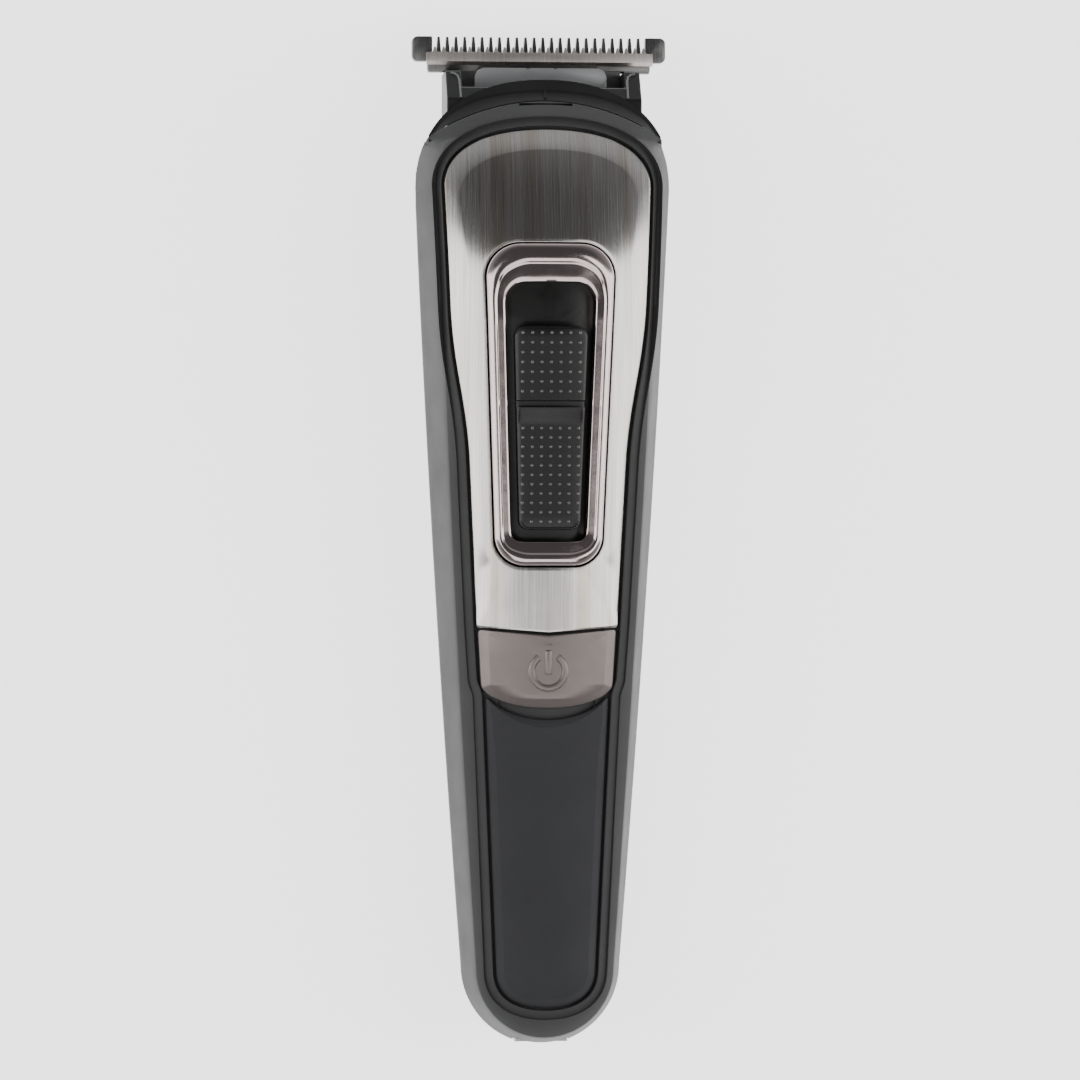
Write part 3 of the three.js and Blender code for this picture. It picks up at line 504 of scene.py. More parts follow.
def brushed(
    name, dark, light, rough, along=(1, 0.012, 0), scale=5200, depth=3e-6, anisotropic=0.7, flatMap=True, tint=None
):
    # metal brushed along Y: fine streaks in shade, gloss and height, over broad faint bands
    made = Finish(name)
    fine = made.noise(scale, 5, along, 0.75)
    colour = made.ramp(fine, tone(*dark), tone(*light), 0.35, 0.65)
    if tint:
        bands = made.noise(scale / 18, 3, (1, 0.02, 0), 0.6)
        mix = made.add("ShaderNodeMix")
        mix.data_type, mix.blend_type = "RGBA", "MULTIPLY"
        made.tree.links.new(made.span(bands, 0, 1, 0.5, 0.62), mix.inputs[0])
        made.tree.links.new(colour, mix.inputs[6])
        mix.inputs[7].default_value = tone(*tint)
        colour = mix.outputs[2]
    made.set(BaseColor=colour, Roughness=made.span(fine, *rough, 0.35, 0.65))
    made.bump(fine, depth)
    made.set(Metallic=1.0, Anisotropic=anisotropic)
    if flatMap:
        tangent = made.add("ShaderNodeTangent")
        tangent.direction_type, tangent.uv_map = "UV_MAP", "flat"
        made.set(Tangent=tangent.outputs["Tangent"])
    return made.material


def plated(name, dark, light, rough, scale=900, metallic=1.0, depth=2e-6):
    # plated or painted metal: clouded shade with a fine orange peel
    made = Finish(name)
    made.set(BaseColor=made.ramp(made.noise(70, 4), tone(*dark), tone(*light)))
    made.set(Roughness=made.span(made.noise(420, 4), *rough))
    made.bump(made.noise(scale, 3), depth)
    made.set(Metallic=metallic)
    return made.material


blackPlastic = moulded(
    "blackPlastic", (0.046, 0.046, 0.0465), (0.054, 0.054, 0.0545), (0.46, 0.54), specular=0.22
)
hoodPlastic = moulded("hoodPlastic", (0.007, 0.007, 0.0072), (0.010, 0.010, 0.0102), (0.34, 0.42), specular=0.4)
gripPlastic = moulded(
    "gripPlastic", (0.031, 0.031, 0.034), (0.037, 0.037, 0.0405), (0.52, 0.6), 3400, 9e-6, 0.25
)
sliderPlastic = moulded(
    "sliderPlastic", (0.006, 0.006, 0.0055), (0.009, 0.009, 0.0085), (0.26, 0.34), specular=0.35
)
# black plastic of the dots and the arrow, given a far lighter base than the slider: painted highlight standing in
# for the glints on these raised bits
glintPaintedPlastic = moulded("glintPaintedPlastic", (0.075, 0.075, 0.075), (0.1, 0.1, 0.1), (0.16, 0.22), specular=1.0)
naturalPlastic = moulded("naturalPlastic", (0.03, 0.03, 0.032), (0.05, 0.05, 0.052), (0.4, 0.55))
brushedPlate = brushed(
    "brushedPlate", (0.44, 0.42, 0.395), (0.62, 0.605, 0.58), (0.17, 0.25), tint=(0.87, 0.81, 0.76)
)
bladeSteel = brushed(
    "bladeSteel", (0.62, 0.56, 0.52), (0.74, 0.68, 0.635), (0.34, 0.42), scale=6000, depth=1e-6, anisotropic=0.3,
    flatMap=False,
)
# comb steel kept far darker than the cutter's steel: painted shade, for the comb band that lies in shadow below the
# cutter
combSteelPaintedShade = brushed(
    "combSteelPaintedShade", (0.16, 0.158, 0.155), (0.22, 0.217, 0.213), (0.28, 0.38), scale=4000, flatMap=False
)
coverSteel = plated("coverSteel", (0.36, 0.365, 0.37), (0.42, 0.425, 0.43), (0.42, 0.5))
# lighter plastic of the carrier ribs: painted highlight along the ribs' edges on the black carrier
ribPaintedHighlight = moulded("ribPaintedHighlight", (0.11, 0.11, 0.112), (0.14, 0.14, 0.142), (0.3, 0.38))
roseGunmetal = plated("roseGunmetal", (0.50, 0.42, 0.40), (0.56, 0.475, 0.46), (0.1, 0.15))
taupeMetal = plated("taupeMetal", (0.19, 0.163, 0.153), (0.22, 0.19, 0.178), (0.36, 0.44), 2400, 0.8)
satinSilver = plated("satinSilver", (0.42, 0.42, 0.42), (0.55, 0.55, 0.55), (0.25, 0.38))
# dark steel of the screws and the motor bracket; on the cutter tongue the same dark colour is painted shade
darkSteelAndPaintedShade = plated("darkSteelAndPaintedShade", (0.08, 0.08, 0.08), (0.14, 0.135, 0.13), (0.3, 0.42))
contactBrass = plated("contactBrass", (0.55, 0.40, 0.18), (0.68, 0.52, 0.26), (0.25, 0.4))
windingCopper = brushed(
    "windingCopper", (0.38, 0.13, 0.06), (0.62, 0.27, 0.14), (0.3, 0.45), (1, 0.05, 1), 2600, 2e-5, 0.3,
    flatMap=False,
)
circuitBoard = moulded("circuitBoard", (0.01, 0.06, 0.025), (0.018, 0.095, 0.04), (0.3, 0.5), 900, 8e-6)
cellWrap = moulded("cellWrap", (0.02, 0.08, 0.25), (0.03, 0.11, 0.32), (0.25, 0.35), 700, 3e-6)
lightPipe = moulded("lightPipe", (0.65, 0.65, 0.62), (0.75, 0.75, 0.72), (0.15, 0.3))
print("finishes made")

# ---- front shell

frontShell = {
    "wall": 1.5,
    "pocketDepth": 1.3,
    "pocketFloor": 2.5,  # how far the seat reaches under plate and panel
    "bridge": (9.6, 49.5, 69.0, 1.7),  # half width, start, end, depth: floor under button and panel end
    "carriageRoom": [((-4.2, 139, 12), (4.2, 142.4, 23.4)), ((-4.2, 142, 12), (4.2, 148.5, 21.8))],
}
rimArcTop = 148.9
rimArcHalfWidth = 18.9
rimGap = 0.06  # either side of the arc


def rimArcY(x):
    return rimArcTop - 5.9 * (x / rimArcHalfWidth) ** 2


def silhouetteOutline():
    # the housing seen from the front, cut off along the arc where the head mount begins
    right = []
    for i in range(1, 41):
        turn = math.pi / 2 * i / 40
        right.append(Vector((body["buttRadius"] * math.sin(turn), body["buttRadius"] * (1 - math.cos(turn)))))
    right += [Vector((halfWidthAt(y), y)) for y in spread(body["buttRadius"], 143.4, 1.6)]
    last = 18.38
    right += [Vector((last * (1 - i / 60), rimArcY(last * (1 - i / 60)) - rimGap)) for i in range(60)]
    right.insert(0, Vector((0, 0)))
    return mirrored(right, (0, rimArcTop - rimGap))


silhouette = silhouetteOutline()
pocket = pocketOutline()
depth = frontShell["pocketDepth"]
rows = [(0, -frontShell["pocketFloor"], -depth), (0, -1.2, -depth), (0, -0.12, -depth), (0, 0, -depth + 0.12)]
rows += roll(0, 0.22, 0, count=4)
rows += [(0, 0.3, 0), (0.1, 0, 0)]
rows += [(1, -d, 0) for d in (2.92, 2.8, 2.65, 2.5, 2.3, 1.9, 1.4, 0.9, 0.5, 0.2)]
rows += [(1, -0.03, -0.02), (1, 0, -0.12)]


def facetStretch(share, out, end):
    return edgeReach(end.x, end.y)[0] / body["shoulderHalfWidth"] if share == 1 else 1


skin = hoops(pocket, (12.6, 135.3), rows, inner=silhouette, closed=False, stretch=facetStretch)
shell = thickened(skin, frontShell["wall"])
halfWidth, start, end, drop = frontShell["bridge"]
bridge = block((-halfWidth, start, 0), (halfWidth, end, 0.8), 0.1, 1)
cutAcross(bridge, (0, 1, 0), spread(start, end, 2))
cutAcross(bridge, (1, 0, 0), spread(-halfWidth, halfWidth, 1.6))
for vert in bridge.verts:
    vert.co.z += faceHeight(vert.co.x, vert.co.y) - drop - 0.8
carriageRoom = [block(*corners) for corners in frontShell["carriageRoom"]]
socketCut = block((-4.5, -2, 10.0), (4.5, 6.5, 14.0), 0.5)
buttonHole = rod(2.0, (0, 59.4, 10), (0, 59.4, 40))
shell = cutWith(shell, carriageRoom)
shell = cutWith(cutWith(shell, [cutWith(bridge, [buttonHole])], "UNION"), [socketCut])
piece(shell, "front_shell_skin", blackPlastic, "housing", ["front_shell"], sharp=40)
print("front shell made")

# ---- rear shell

rearShell = {
    "rings": 70,
    "around": 120,
    "wall": 2.4,
    "flankRoundness": 0.85,
    "screwHoles": [(0, 15.5, 3.6), (12.3, 84, 5.2), (-12.3, 84, 5.2)],  # x, y, floor under the head
    "screwHoleRadius": 2.2,
}


def rearPoint(turn, y):
    # turn runs from 0 at the right-hand edge, round the back, to pi at the left
    half = halfWidthAt(y)
    flat = min(body["backFlatHalfWidth"], half / 2)
    round_ = (half / body["buttRadius"]) ** 0.45 if y < body["buttRadius"] else 1
    middle = partingHeight(y)
    deep = (middle - backHeight(y)) * round_
    power = rearShell["flankRoundness"]
    side = 1 if turn <= math.pi / 2 else -1
    share = min(turn, math.pi - turn) / (math.pi / 2) / 0.8
    if share > 1:
        return side * flat * (1 - (share - 1) / 0.25), middle - deep
    angle = share * math.pi / 2
    return side * (flat + (half - flat) * math.cos(angle) ** power), middle - deep * math.sin(angle) ** power


skin = bmesh.new()
bmesh.ops.create_uvsphere(skin, u_segments=rearShell["around"], v_segments=2 * rearShell["rings"], radius=1)
bmesh.ops.rotate(skin, cent=(0, 0, 0), matrix=Matrix.Rotation(math.pi / 2, 3, "X"), verts=skin.verts[:])
for keep in [(0, 1, 0), (0, 0, 1)]:
    everything = skin.verts[:] + skin.edges[:] + skin.faces[:]
    bmesh.ops.bisect_plane(skin, geom=everything, plane_co=(0, 0, 0), plane_no=keep, clear_outer=True, dist=1e-6)
for vert in skin.verts:
    x, y, z = vert.co
    along = 1 - math.asin(min(1, max(0, -y))) / (math.pi / 2)
    place = body["seatY"] * (0.35 * along + 0.65 * along**3.2) if along < 1 else body["seatY"]
    turn = math.atan2(max(0, -z), x) if abs(x) + abs(z) > 1e-6 else math.pi / 2
    across, height = rearPoint(turn, place)
    vert.co = (across, place, height)
    if turn < 1e-4 or turn > math.pi - 1e-4:
        vert.co.z -= body["gap"] / 2
shell = thickened(skin, rearShell["wall"])
holes = [rod(rearShell["screwHoleRadius"], (x, y, -3), (x, y, floor)) for x, y, floor in rearShell["screwHoles"]]
holes += [rod(1.15, (x, y, -3), (x, y, 16), 24) for x, y, floor in rearShell["screwHoles"]]
posts = [rod(2.3, (x, y, floor - 1), (x, y, 9), 32) for x, y, floor in rearShell["screwHoles"]]
socketCut = block((-4.5, -2, 10.0), (4.5, 6.5, 14.0), 0.5)
shell = cutWith(cutWith(shell, posts, "UNION"), [*holes, socketCut])
piece(shell, "rear_shell_skin", blackPlastic, "housing", ["rear_shell"], sharp=40)
print("rear shell made")

# ---- head mount: a crescent rim in front, a block with the bores behind

headMount = {
    "rimEnd": 18.33,
    "tuckX": (15.5, 17.5),
    "tuck": 1.1,
    "tuckDrop": 0.15,
    "nose": 0.12,  # least thickness, at the outer edge
    "markHalfWidth": 0.22,
    "markY": (149.3, 151.4),
    "markProud": 0.22,
}


def silhouetteTop(x):
    share = (abs(x) / body["shoulderHalfWidth"]) ** body["archPower"]
    return body["shoulderY"] + (body["length"] - body["shoulderY"]) * (1 - share) ** (1 / body["archPower"])


rim = bmesh.new()
bmesh.ops.create_grid(rim, x_segments=96, y_segments=22, size=1)
for vert in rim.verts:
    x = headMount["rimEnd"] * math.sin(vert.co.x * math.pi / 2)
    tuck = smoothStep(*headMount["tuckX"], abs(x))  # the ends run on under the front shell
    low, high = rimArcY(x) + rimGap - headMount["tuck"] * tuck, silhouetteTop(x)
    share = (vert.co.y + 1) / 2
    y = low + (high - low) * (1 - (1 - share) ** 1.5)
    height = faceHeight(x, y) - headMount["tuckDrop"] * tuck
    vert.co = (x, y, max(height, body["hoodHeight"] + headMount["nose"]))
down = newEdges(bmesh.ops.extrude_face_region(rim, geom=rim.faces[:])["geom"])[0]
for vert in down:
    vert.co.z = body["hoodHeight"]
mark = block((-headMount["markHalfWidth"], headMount["markY"][0], -0.6),
             (headMount["markHalfWidth"], headMount["markY"][1], headMount["markProud"]), 0.1)
cutAcross(mark, (0, 1, 0), spread(*headMount["markY"], 0.35))
for vert in mark.verts:
    vert.co.z = max(vert.co.z + faceHeight(0, vert.co.y), body["hoodHeight"] + 0.05)
inner = cutWith(copyOf("head_mount"), [block((-30, 120, -5), (30, 142.7, 40))], "INTERSECT")
rollEdges(inner, sharpEdges(inner, 40), 0.12, 2)
piece(joined([rim, mark]), "head_mount_rim", hoodPlastic, "housing", sharp=40)
piece(inner, "head_mount_block", hoodPlastic, "housing", ["head_mount"], sharp=30)
print("head mount made")

# ---- steel faceplate

steelFaceplate = {"borderWidth": 3.5, "borderDrop": 0.5}
plate = plateOutline()
width, drop = steelFaceplate["borderWidth"], steelFaceplate["borderDrop"]
bezelHole = roundedOutline(126.25, 10.2, 75.75, 8.7, 5.4, 4.8)
rows = [(0, 0, -1.0), (0, 0, -0.12, -drop), (0, 0.04, -0.04, -drop), (0, 0.12, 0, -drop)]
for share in (0.08, 0.18, 0.3, 0.42, 0.55, 0.7, 0.84, 0.94, 1.0):
    rows.append((0, 0.12 + (width - 0.12) * share, 0, -drop * (1 - share) ** 1.6))
rows += [(1, -1.2, 0), (1, -0.6, 0), (1, -0.12, 0), (1, -0.03, -0.03), (1, 0, -0.12), (1, 0, -1.0)]


def besideButton(point):
    # the rolled border dies out at the straight lower edge
    return smoothStep(66.2, 70, point.y)


def borderStretch(share, out, end):
    # the border narrows where the plate is narrow beside the bezel
    return 1 if share == 1 else min(1, ((end - out).length - 1.45) / width)


ring = hoops(plate, (84, 117), rows, inner=bezelHole, stretch=borderStretch, fade=besideButton)
piece(ring, "faceplate", brushedPlate, "housing", ["steel_faceplate"], sharp=40)
print("faceplate made")

# ---- bezel round the slider slot, and the slot floor with its arrow

sliderBezel = {"proud": 0.74, "stepHeight": 0.3, "depth": 2.4}
proud, stepHeight = sliderBezel["proud"], sliderBezel["stepHeight"]
rows = [(0, 0, -sliderBezel["depth"]), (0, 0, -0.6), (0, 0, 0.25)]
rows += [(0, 0.04, 0.38), (0, 0.13, 0.5), (0.06, 0.13, 0.62), (0.14, 0.1, 0.7), (0.24, 0, proud)]
rows += [(0.34, 0, proud - 0.02), (0.42, 0, proud - 0.1), (0.48, 0, proud - 0.23), (0.52, 0, proud - 0.38)]
rows += [(0.54, 0, stepHeight + 0.04)]
rows += [(0.6, 0, stepHeight), (0.8, 0, stepHeight - 0.12), (0.93, 0, stepHeight - 0.22)]
rows += [(1, -0.08, stepHeight - 0.3), (1, 0, stepHeight - 0.45), (1, 0, -1.2), (1, 0, -sliderBezel["depth"])]
rows += [(0.7, 0, -sliderBezel["depth"]), (0.35, 0, -sliderBezel["depth"])]
ring = hoops(bezelOutline, (84, 117), rows, inner=slotOutline)
piece(ring, "slider_bezel_ring", roseGunmetal, "housing", ["slider_bezel"], sharp=50)

slotFloor = {
    "top": -2.7,
    "underside": -3.5,
    "neckHole": ((-2.2, 91.6), (2.2, 110.0)),
    "arrowLine": 0.3,
    "arrowProud": 0.25,
}
rows = [(0, -0.6, slotFloor["underside"]), (0, -0.6, slotFloor["top"]), (0, 0, slotFloor["top"])]
rows += [(share, 0, slotFloor["top"]) for share in (0.3, 0.6, 1)]
tray = hoops(slotOutline, (86, 113), rows)
(low, high) = slotFloor["neckHole"]
tray = cutWith(tray, [block((*low, 10), (*high, 40), 0.6, 2)])
piece(tray, "slot_tray", sliderPlastic, "housing", ["slot_floor"], sharp=40)

arrowOutline = [
    (0, 119.8), (-1.5, 117.9), (-0.62, 117.9), (-0.62, 114.6), (0.62, 114.6), (0.62, 117.9), (1.5, 117.9),
]
arrow = bmesh.new()
face = arrow.faces.new([arrow.verts.new((x, y, 0)) for x, y in arrowOutline])
bmesh.ops.inset_region(
    arrow, faces=[face], thickness=slotFloor["arrowLine"], use_even_offset=True, use_boundary=True
)
bmesh.ops.delete(arrow, geom=[face], context="FACES")
up = newEdges(bmesh.ops.extrude_face_region(arrow, geom=arrow.faces[:])["geom"])[0]
bmesh.ops.translate(arrow, vec=(0, 0, slotFloor["arrowProud"] + 0.3), verts=list(up))
for vert in arrow.verts:
    vert.co.z += faceHeight(vert.co.x, vert.co.y) + slotFloor["top"] - 0.3
# the arrow's lighter colour is painted highlight
piece(arrow, "slot_arrow", glintPaintedPlastic, "housing", sharp=30)
print("bezel and slot made")

# ---- thumb slider with its dotted pads

thumbSlider = {
    "proud": 1.34,
    "depth": 1.8,
    "edge": 0.55,  # roll of the rim
    "groove": 0.95,
    "ridge": 0.3,
    "ridgeY": 100.6,
    "rampY": 98.0,
    "dotRadius": 0.31,
    "dotSink": 0.12,
}


def sliderDrop(y):
    # a groove under the upper pad, then a ridge that falls away towards the lower pad
    if y > thumbSlider["ridgeY"]:
        return thumbSlider["groove"] * smoothStep(101.7, 101.55, y)
    return -thumbSlider["ridge"] * smoothStep(thumbSlider["rampY"], thumbSlider["ridgeY"], y)


thick = thumbSlider["proud"] + thumbSlider["depth"]
pad = slab(sliderOutline, 0, thick, thumbSlider["edge"], 5)
cutAcross(pad, (0, 1, 0), spread(82.2, 96.8, 1.6) + spread(96.8, 100.2, 0.4))
cutAcross(pad, (0, 1, 0), [96.8, 100.2, 100.4, 100.52, 100.59])
cutAcross(pad, (0, 1, 0), [100.64, 101.1, 101.55, 101.62, 101.7] + spread(101.7, 113, 1.6))
cutAcross(pad, (1, 0, 0), spread(-5.6, 5.6, 1.1))
for vert in pad.verts:
    x, y, z = vert.co
    vert.co.z = faceHeight(x, y) - thumbSlider["depth"] + z - sliderDrop(y) * (z / thick) ** 2
piece(pad, "thumb_slider_pad", sliderPlastic, "slider", ["thumb_slider"], sharp=30)

dots = []
rowsOfDots = [(103.1 + 1.51 * i, 1.48, 7) for i in range(7)]
rowsOfDots += [(82.9 + 1.45 * i, 1.44, 7 if i else 5) for i in range(11)]
for y, pitch, count in rowsOfDots:
    for i in range(count):
        x = (i - (count - 1) / 2) * pitch
        dot = bmesh.new()
        bmesh.ops.create_uvsphere(dot, u_segments=10, v_segments=6, radius=thumbSlider["dotRadius"])
        lift = faceHeight(x, y) + thumbSlider["proud"] - sliderDrop(y) - thumbSlider["dotSink"]
        bmesh.ops.translate(dot, vec=(x, y, lift), verts=dot.verts[:])
        dots.append(dot)
# the dots' lighter colour is painted highlight
piece(joined(dots), "slider_dots", glintPaintedPlastic, "slider", sharp=180)
print("slider made")

# ---- power button and its icon

powerButton = {"proud": 0.4, "chamfer": 1.5, "chamferDrop": 0.65, "iconRadius": 2.65, "iconLine": 0.55}
button = buttonOutline()


def buttonHeight(x, y):
    # chamfered along the sides and the bottom, not along the top
    side = 10.45 + (y - 57.7) * 0.056 - abs(x)
    bottom = y - (53.7 + 2.8 * (abs(x) / 10) ** 2.4)
    inside = min(side, bottom)
    return faceHeight(x, y) - powerButton["chamferDrop"] * max(0, 1 - max(0, inside) / powerButton["chamfer"])


rows = [(0.6, 0, -1.0), (0.3, 0, -1.0), (0, 0.1, -1.0), (0, 0, -0.9)]
rows += roll(0, 0.2, powerButton["proud"], count=4)
rows += [(0, d, powerButton["proud"]) for d in (0.45, 0.8, 1.15, 1.42, 1.5, 1.6)]
rows += [(share, 0, powerButton["proud"]) for share in (0.35, 0.5, 0.65, 0.8, 0.92, 1)]
cap = hoops(button, (57.6, 61.4), rows, height=buttonHeight)
piece(cap, "power_button_cap", taupeMetal, "button", ["power_button"], sharp=40)

stem = rod(1.6, (0, 59.4, 22.2), (0, 59.4, 24.6))
piece(stem, "power_button_stem", naturalPlastic, "button", sharp=40)

icon = bmesh.new()
radius, wire = powerButton["iconRadius"], powerButton["iconLine"]
start = bmesh.ops.create_circle(icon, segments=16, radius=wire, cap_ends=True)["verts"]
bmesh.ops.rotate(icon, cent=(0, 0, 0), matrix=Matrix.Rotation(math.pi / 2, 3, "X"), verts=start)
bmesh.ops.translate(icon, vec=(radius, 0, 0), verts=start)
bmesh.ops.rotate(icon, cent=(0, 0, 0), matrix=Matrix.Rotation(math.radians(125), 3, "Z"), verts=icon.verts[:])
bmesh.ops.spin(
    icon, geom=icon.faces[:], cent=(0, 0, 0), axis=(0, 0, 1), dvec=(0, 0, 0), angle=math.radians(290),
    steps=56, use_merge=False, use_normal_flip=False, use_duplicate=False,
)
bar = rod(wire, (0, -0.5, 0), (0, 3.3, 0), 16)
rollEdges(bar, sharpEdges(bar, 50), wire * 0.45, 3)
icon = joined([icon, bar])
bmesh.ops.translate(icon, vec=(0, 59.5, 0), verts=icon.verts[:])
for vert in icon.verts:
    vert.co.z = vert.co.z * 0.4 + faceHeight(vert.co.x, vert.co.y) + powerButton["proud"]
piece(icon, "power_icon", taupeMetal, "button", sharp=60)
print("button made")

# ---- lower grip panel

gripPanel = {"chamfer": 1.25, "drop": 0.32}
panel = panelOutline()
rows = [(0.6, 0, -1.0), (0.3, 0, -1.0), (0, 0.1, -1.0), (0, 0, -0.9), (0, 0, -0.5)]
rows += [(0, 0.05, -gripPanel["drop"] - 0.04), (0, 0.14, -gripPanel["drop"])]
rows += [(0, d, -gripPanel["drop"] * (1 - d / gripPanel["chamfer"])) for d in (0.4, 0.8, 1.1)]
rows += [(0, gripPanel["chamfer"], 0.0), (0, gripPanel["chamfer"] + 0.15, 0.0)]
rows += [(share, 0, 0) for share in (0.3, 0.45, 0.6, 0.75, 0.9, 1)]
cap = hoops(panel, (16, 44), rows)
piece(cap, "grip_panel", gripPlastic, "housing", ["lower_grip_panel"], sharp=40)
print("grip panel made")

# ---- head: comb, cutter, cover plate, ribs on the carrier

combBlade = {
    "underside": 8.5,
    "top": 10.3,
    "barHalfWidth": 17.8,
    "lugX": (17.0, 20.25),
    "lugY": (156.0, 160.0),
    "lugCorner": 0.95,
    "teeth": 24,
    "pitch": 1.3875,
    "toothWidth": 0.86,
    "tipWidth": 0.38,
}


def tooth(x, low, high, root, tip, bottom, top, tipDrop, bevel):
    # a wedge that narrows and thins towards its tip
    bm = block((x - root / 2, low, bottom), (x + root / 2, high, top))
    for vert in bm.verts:
        if vert.co.y > high - 0.01:
            vert.co.x = x + (vert.co.x - x) * tip / root
            if vert.co.z > top - 0.01:
                vert.co.z -= tipDrop
    rollEdges(bm, bm.edges[:], bevel, 2)
    return bm


low, high = combBlade["underside"], combBlade["top"]
bar = slab(
    [(-17.62, 154.3), (17.62, 154.3), (combBlade["barHalfWidth"], 154.8), (combBlade["barHalfWidth"], 157.2),
     (-combBlade["barHalfWidth"], 157.2), (-combBlade["barHalfWidth"], 154.8)], low, high, 0.22, 2,
)
lugs = []
for side in (-1, 1):
    near, far = sorted(side * x for x in combBlade["lugX"])
    lug = block((near, combBlade["lugY"][0], low), (far, combBlade["lugY"][1], high))
    outer = side * combBlade["lugX"][1]
    corners = [e for e in lug.edges if all(abs(v.co.x - outer) < 0.01 for v in e.verts)]
    corners = [e for e in corners if abs(e.verts[0].co.z - e.verts[1].co.z) > 1]
    rollEdges(lug, corners, combBlade["lugCorner"], 8)
    rollEdges(lug, sharpEdges(lug, 50), 0.14, 2)
    lugs.append(lug)
xs = [(i - (combBlade["teeth"] - 1) / 2) * combBlade["pitch"] for i in range(combBlade["teeth"])]
teeth = [
    tooth(x, 156.6, 160.0, combBlade["toothWidth"] + 0.04, combBlade["tipWidth"], low, high, 0.55, 0.07) for x in xs
]
comb = cutWith(bar, [*lugs, joined(teeth)], "UNION")
screwHoles = [rod(1.2, (side * 8.2, 149.2, 5), (side * 8.2, 149.2, 11)) for side in (-1, 1)]
neck = block((-13.0, 147.0, low), (13.0, 154.7, high), 0.1, 2)
comb = cutWith(cutWith(comb, [neck], "UNION"), screwHoles)
# the comb's dark colour is painted shade
piece(comb, "comb", combSteelPaintedShade, "head", ["comb_blade"], sharp=30)

cutterBlade = {
    "bottomY": 155.4,
    "rootY": 157.35,
    "tipY": 158.3,
    "halfWidth": 18.05,
    "underside": 10.6,
    "top": 11.9,
}
low, high = cutterBlade["underside"], cutterBlade["top"]
half, bottom, root = cutterBlade["halfWidth"], cutterBlade["bottomY"], cutterBlade["rootY"]
strip = block((-half, bottom, low), (half, root, high))
lower = [e for e in strip.edges if all(v.co.y < bottom + 0.01 and v.co.z > high - 0.01 for v in e.verts)]
rollEdges(strip, lower, 0.5, 1)
rollEdges(strip, sharpEdges(strip, 60), 0.05, 2)
between = [(x + xs[i + 1]) / 2 if i + 1 < len(xs) else x + combBlade["pitch"] / 2 for i, x in enumerate(xs)]
between.append(xs[0] - combBlade["pitch"] / 2)
small = [tooth(x, root - 0.4, cutterBlade["tipY"], 1.0, 0.22, low, high - 0.3, 0.4, 0.05) for x in between]
cutter = cutWith(strip, [joined(small)], "UNION")
piece(cutter, "cutter", bladeSteel, "cutter", ["cutter_blade"], sharp=30)
# the tongue is cutter steel coloured dark: painted shade for the dark bar under the cutter strip
tongue = block((-9.3, 152.2, low), (9.3, bottom + 0.02, high - 0.35), 0.08, 2)
piece(tongue, "cutter_tongue", darkSteelAndPaintedShade, "cutter", sharp=30)

coverHigh = intoFrame.inverted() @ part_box("cutter_cover_plate")[1]
cover = copyOf("cutter_cover_plate")
notchY = coverHigh.y + 0.1
dents = [rod(0.36, (x, notchY, coverHigh.z - 0.6), (x, notchY, 20), 24) for x in (-2.0, 2.35)]
dents += [rod(0.26, (x, 151.5, coverHigh.z - 0.5), (x, 151.5, 20), 20) for x in (-9.1, 9.1)]
cover = cutWith(cover, dents)
corners = [
    e for e in cover.edges
    if all(v.co.y > coverHigh.y - 0.01 and abs(v.co.x) > coverHigh.x - 0.01 for v in e.verts)
]
rollEdges(cover, corners, 0.7, 6)
rollEdges(cover, sharpEdges(cover, 50), 0.09, 2)
piece(cover, "cover_plate", coverSteel, "head", ["cutter_cover_plate"], sharp=25)


def wire(points, radius):
    # a thin bead along a path
    data = bpy.data.curves.new("bead", "CURVE")
    data.dimensions, data.bevel_depth, data.bevel_resolution, data.use_fill_caps = "3D", radius, 3, True
    spline = data.splines.new("POLY")
    spline.points.add(len(points) - 1)
    for spot, place in zip(spline.points, points):
        spot.co = (*place, 1)
    bead = bpy.data.objects.new("bead", data)
    bpy.context.scene.collection.objects.link(bead)
    mesh = bpy.data.meshes.new_from_object(bead.evaluated_get(bpy.context.evaluated_depsgraph_get()))
    bm = bmesh.new()
    bm.from_mesh(mesh)
    bpy.data.objects.remove(bead)
    bpy.data.curves.remove(data)
    bpy.data.meshes.remove(mesh)
    return bm


carrierSlope = (149.3, 19.7, math.tan(0.62))  # where the carrier's front starts to fall, its height, its slope
# the ribs are coloured far lighter than the carrier: painted highlight
beads = []
for side in (-1, 1):
    path = [(14.6, 153.6), (14.0, 153.5), (13.5, 153.1), (13.3, 152.4), (13.25, 151.0), (13.2, 149.5)]
    y0, z0, slope = carrierSlope
    beads.append(wire([(side * x, y, z0 - slope * (y - y0) + 0.06) for x, y in path], 0.17))
piece(joined(beads), "carrier_ribs", ribPaintedHighlight, "head", sharp=60)
print("head made")

# ---- CAD nodes that keep their shape: rims rolled, finishes given

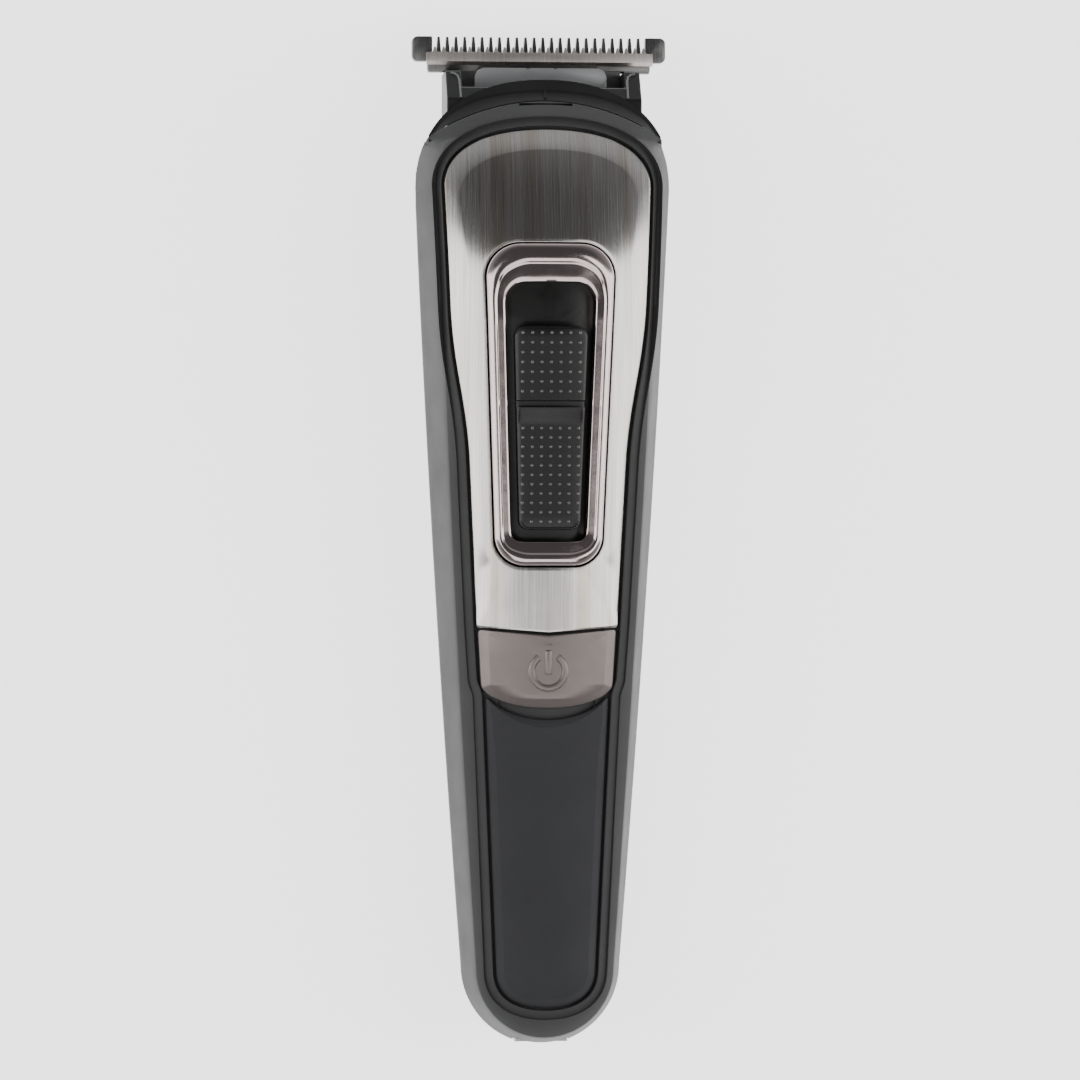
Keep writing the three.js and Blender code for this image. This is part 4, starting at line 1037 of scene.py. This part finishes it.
nodeFinishes = {
    "head_carrier": (hoodPlastic, 0.25),
    "drive_fork": (naturalPlastic, 0.15),
    "blade_screw_1": (satinSilver, 0.08),
    "blade_screw_2": (satinSilver, 0.08),
    "slider_carriage": (naturalPlastic, 0.15),
    "chassis": (naturalPlastic, 0.15),
    "battery_cell": (cellWrap, 0.4),
    "battery_contact_rear": (contactBrass, 0.05),
    "battery_contact_front": (contactBrass, 0.05),
    "circuit_board": (circuitBoard, 0.05),
    "switch_body": (satinSilver, 0.08),
    "status_light": (lightPipe, 0.08),
    "charge_socket": (satinSilver, 0.12),
    "motor_can": (satinSilver, 0.3),
    "motor_end_cap": (hoodPlastic, 0.1),
    "motor_bush_rear": (contactBrass, 0.08),
    "motor_bush_front": (contactBrass, 0.08),
    "motor_bracket": (darkSteelAndPaintedShade, 0.12),
    "motor_screw_1": (satinSilver, 0.08),
    "motor_screw_2": (satinSilver, 0.08),
    "housing_screw_1": (darkSteelAndPaintedShade, 0.12),
    "housing_screw_2": (darkSteelAndPaintedShade, 0.12),
    "housing_screw_3": (darkSteelAndPaintedShade, 0.12),
    "button_spring": (satinSilver, 0),
    "slider_spring": (satinSilver, 0),
    "motor_shaft": (satinSilver, 0.08),
    "motor_armature": (windingCopper, 0.15),
    "drive_cam": (naturalPlastic, 0.1),
    "switch_plunger": (hoodPlastic, 0.12),
}
for node, (finish, edge) in nodeFinishes.items():
    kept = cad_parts[node]
    kept.data.materials.clear()
    kept.data.materials.append(finish)
    weld = kept.modifiers.new("weld", "WELD")
    weld.merge_threshold = 2e-6
    flat = kept.modifiers.new("flat", "DECIMATE")
    flat.decimate_type, flat.angle_limit = "DISSOLVE", math.radians(1)
    if edge:
        rolled = kept.modifiers.new("rolled", "BEVEL")
        rolled.width, rolled.segments, rolled.angle_limit = edge * mm, 2, math.radians(35)
print("kept nodes finished")

# ---- floor, light and camera

studio = {
    "floorSize": 4.0,
    "distance": 0.8,
    "tilt": 5.5,  # degrees towards the left
    "lens": 168,
    "wallLight": 0.5,
    "ceilingLight": 0.1,
    "lookAt": (0, 80, 12),  # millimetres from the butt end
}
floorMesh = bmesh.new()
bmesh.ops.create_grid(floorMesh, x_segments=1, y_segments=1, size=studio["floorSize"] / 2)
floor = asObject(floorMesh, "studio_floor")
floor.location.z = 0
paleFloor = Finish("paleFloor")
pale = paleFloor.ramp(paleFloor.noise(3), tone(0.9, 0.9, 0.9), tone(0.93, 0.93, 0.93))
paleFloor.set(BaseColor=pale, Roughness=0.9)
paleFloor.set(EmissionColor=tone(1, 1, 1), EmissionStrength=2.0)
floor.data.materials.append(paleFloor.material)

world = bpy.data.worlds.new("softWorld")
world.use_nodes = True
sky = world.node_tree
direction = sky.nodes.new("ShaderNodeTexCoord").outputs["Generated"]
parts = sky.nodes.new("ShaderNodeSeparateXYZ")
sky.links.new(direction, parts.inputs[0])
rise = sky.nodes.new("ShaderNodeMapRange")  # darker overhead than round the sides
rise.inputs["From Min"].default_value, rise.inputs["From Max"].default_value = 0.35, 0.8
rise.inputs["To Min"].default_value = studio["wallLight"]
rise.inputs["To Max"].default_value = studio["ceilingLight"]
sky.links.new(parts.outputs["Z"], rise.inputs["Value"])
sky.links.new(rise.outputs["Result"], sky.nodes["Background"].inputs["Strength"])
sky.nodes["Background"].inputs["Color"].default_value = tone(0.97, 0.98, 1.0)
bpy.context.scene.world = world


def softbox(name, place, aim, size, power):
    light = bpy.data.lights.new(name, "AREA")
    light.shape, light.size, light.size_y, light.energy = "RECTANGLE", size[0], size[1], power
    lamp = bpy.data.objects.new(name, light)
    lamp.location = place
    lamp.rotation_euler = (Vector(aim) - Vector(place)).to_track_quat("-Z", "Y").to_euler()
    bpy.context.scene.collection.objects.link(lamp)


softbox("leftBox", (-0.85, 0.0, 0.62), (0, 0, 0.02), (0.45, 1.3), 5.5)
softbox("rightBox", (0.85, 0.0, 0.62), (0, 0, 0.02), (0.45, 1.3), 5.5)
softbox("buttBox", (0, -0.42, 1.05), (0, -0.03, 0.02), (1.0, 0.5), 3.4)

camera = bpy.data.objects.new("camera", bpy.data.cameras.new("camera"))
target = intoFrame @ Vector(studio["lookAt"])
tilt = math.radians(studio["tilt"])
away = Vector((-math.sin(tilt), 0, math.cos(tilt)))
camera.location = target + away * studio["distance"]
camera.rotation_euler = (0, -tilt, 0)
camera.data.lens = studio["lens"]
camera.data.sensor_width = 36
bpy.context.scene.collection.objects.link(camera)
bpy.context.scene.camera = camera
print("studio ready")
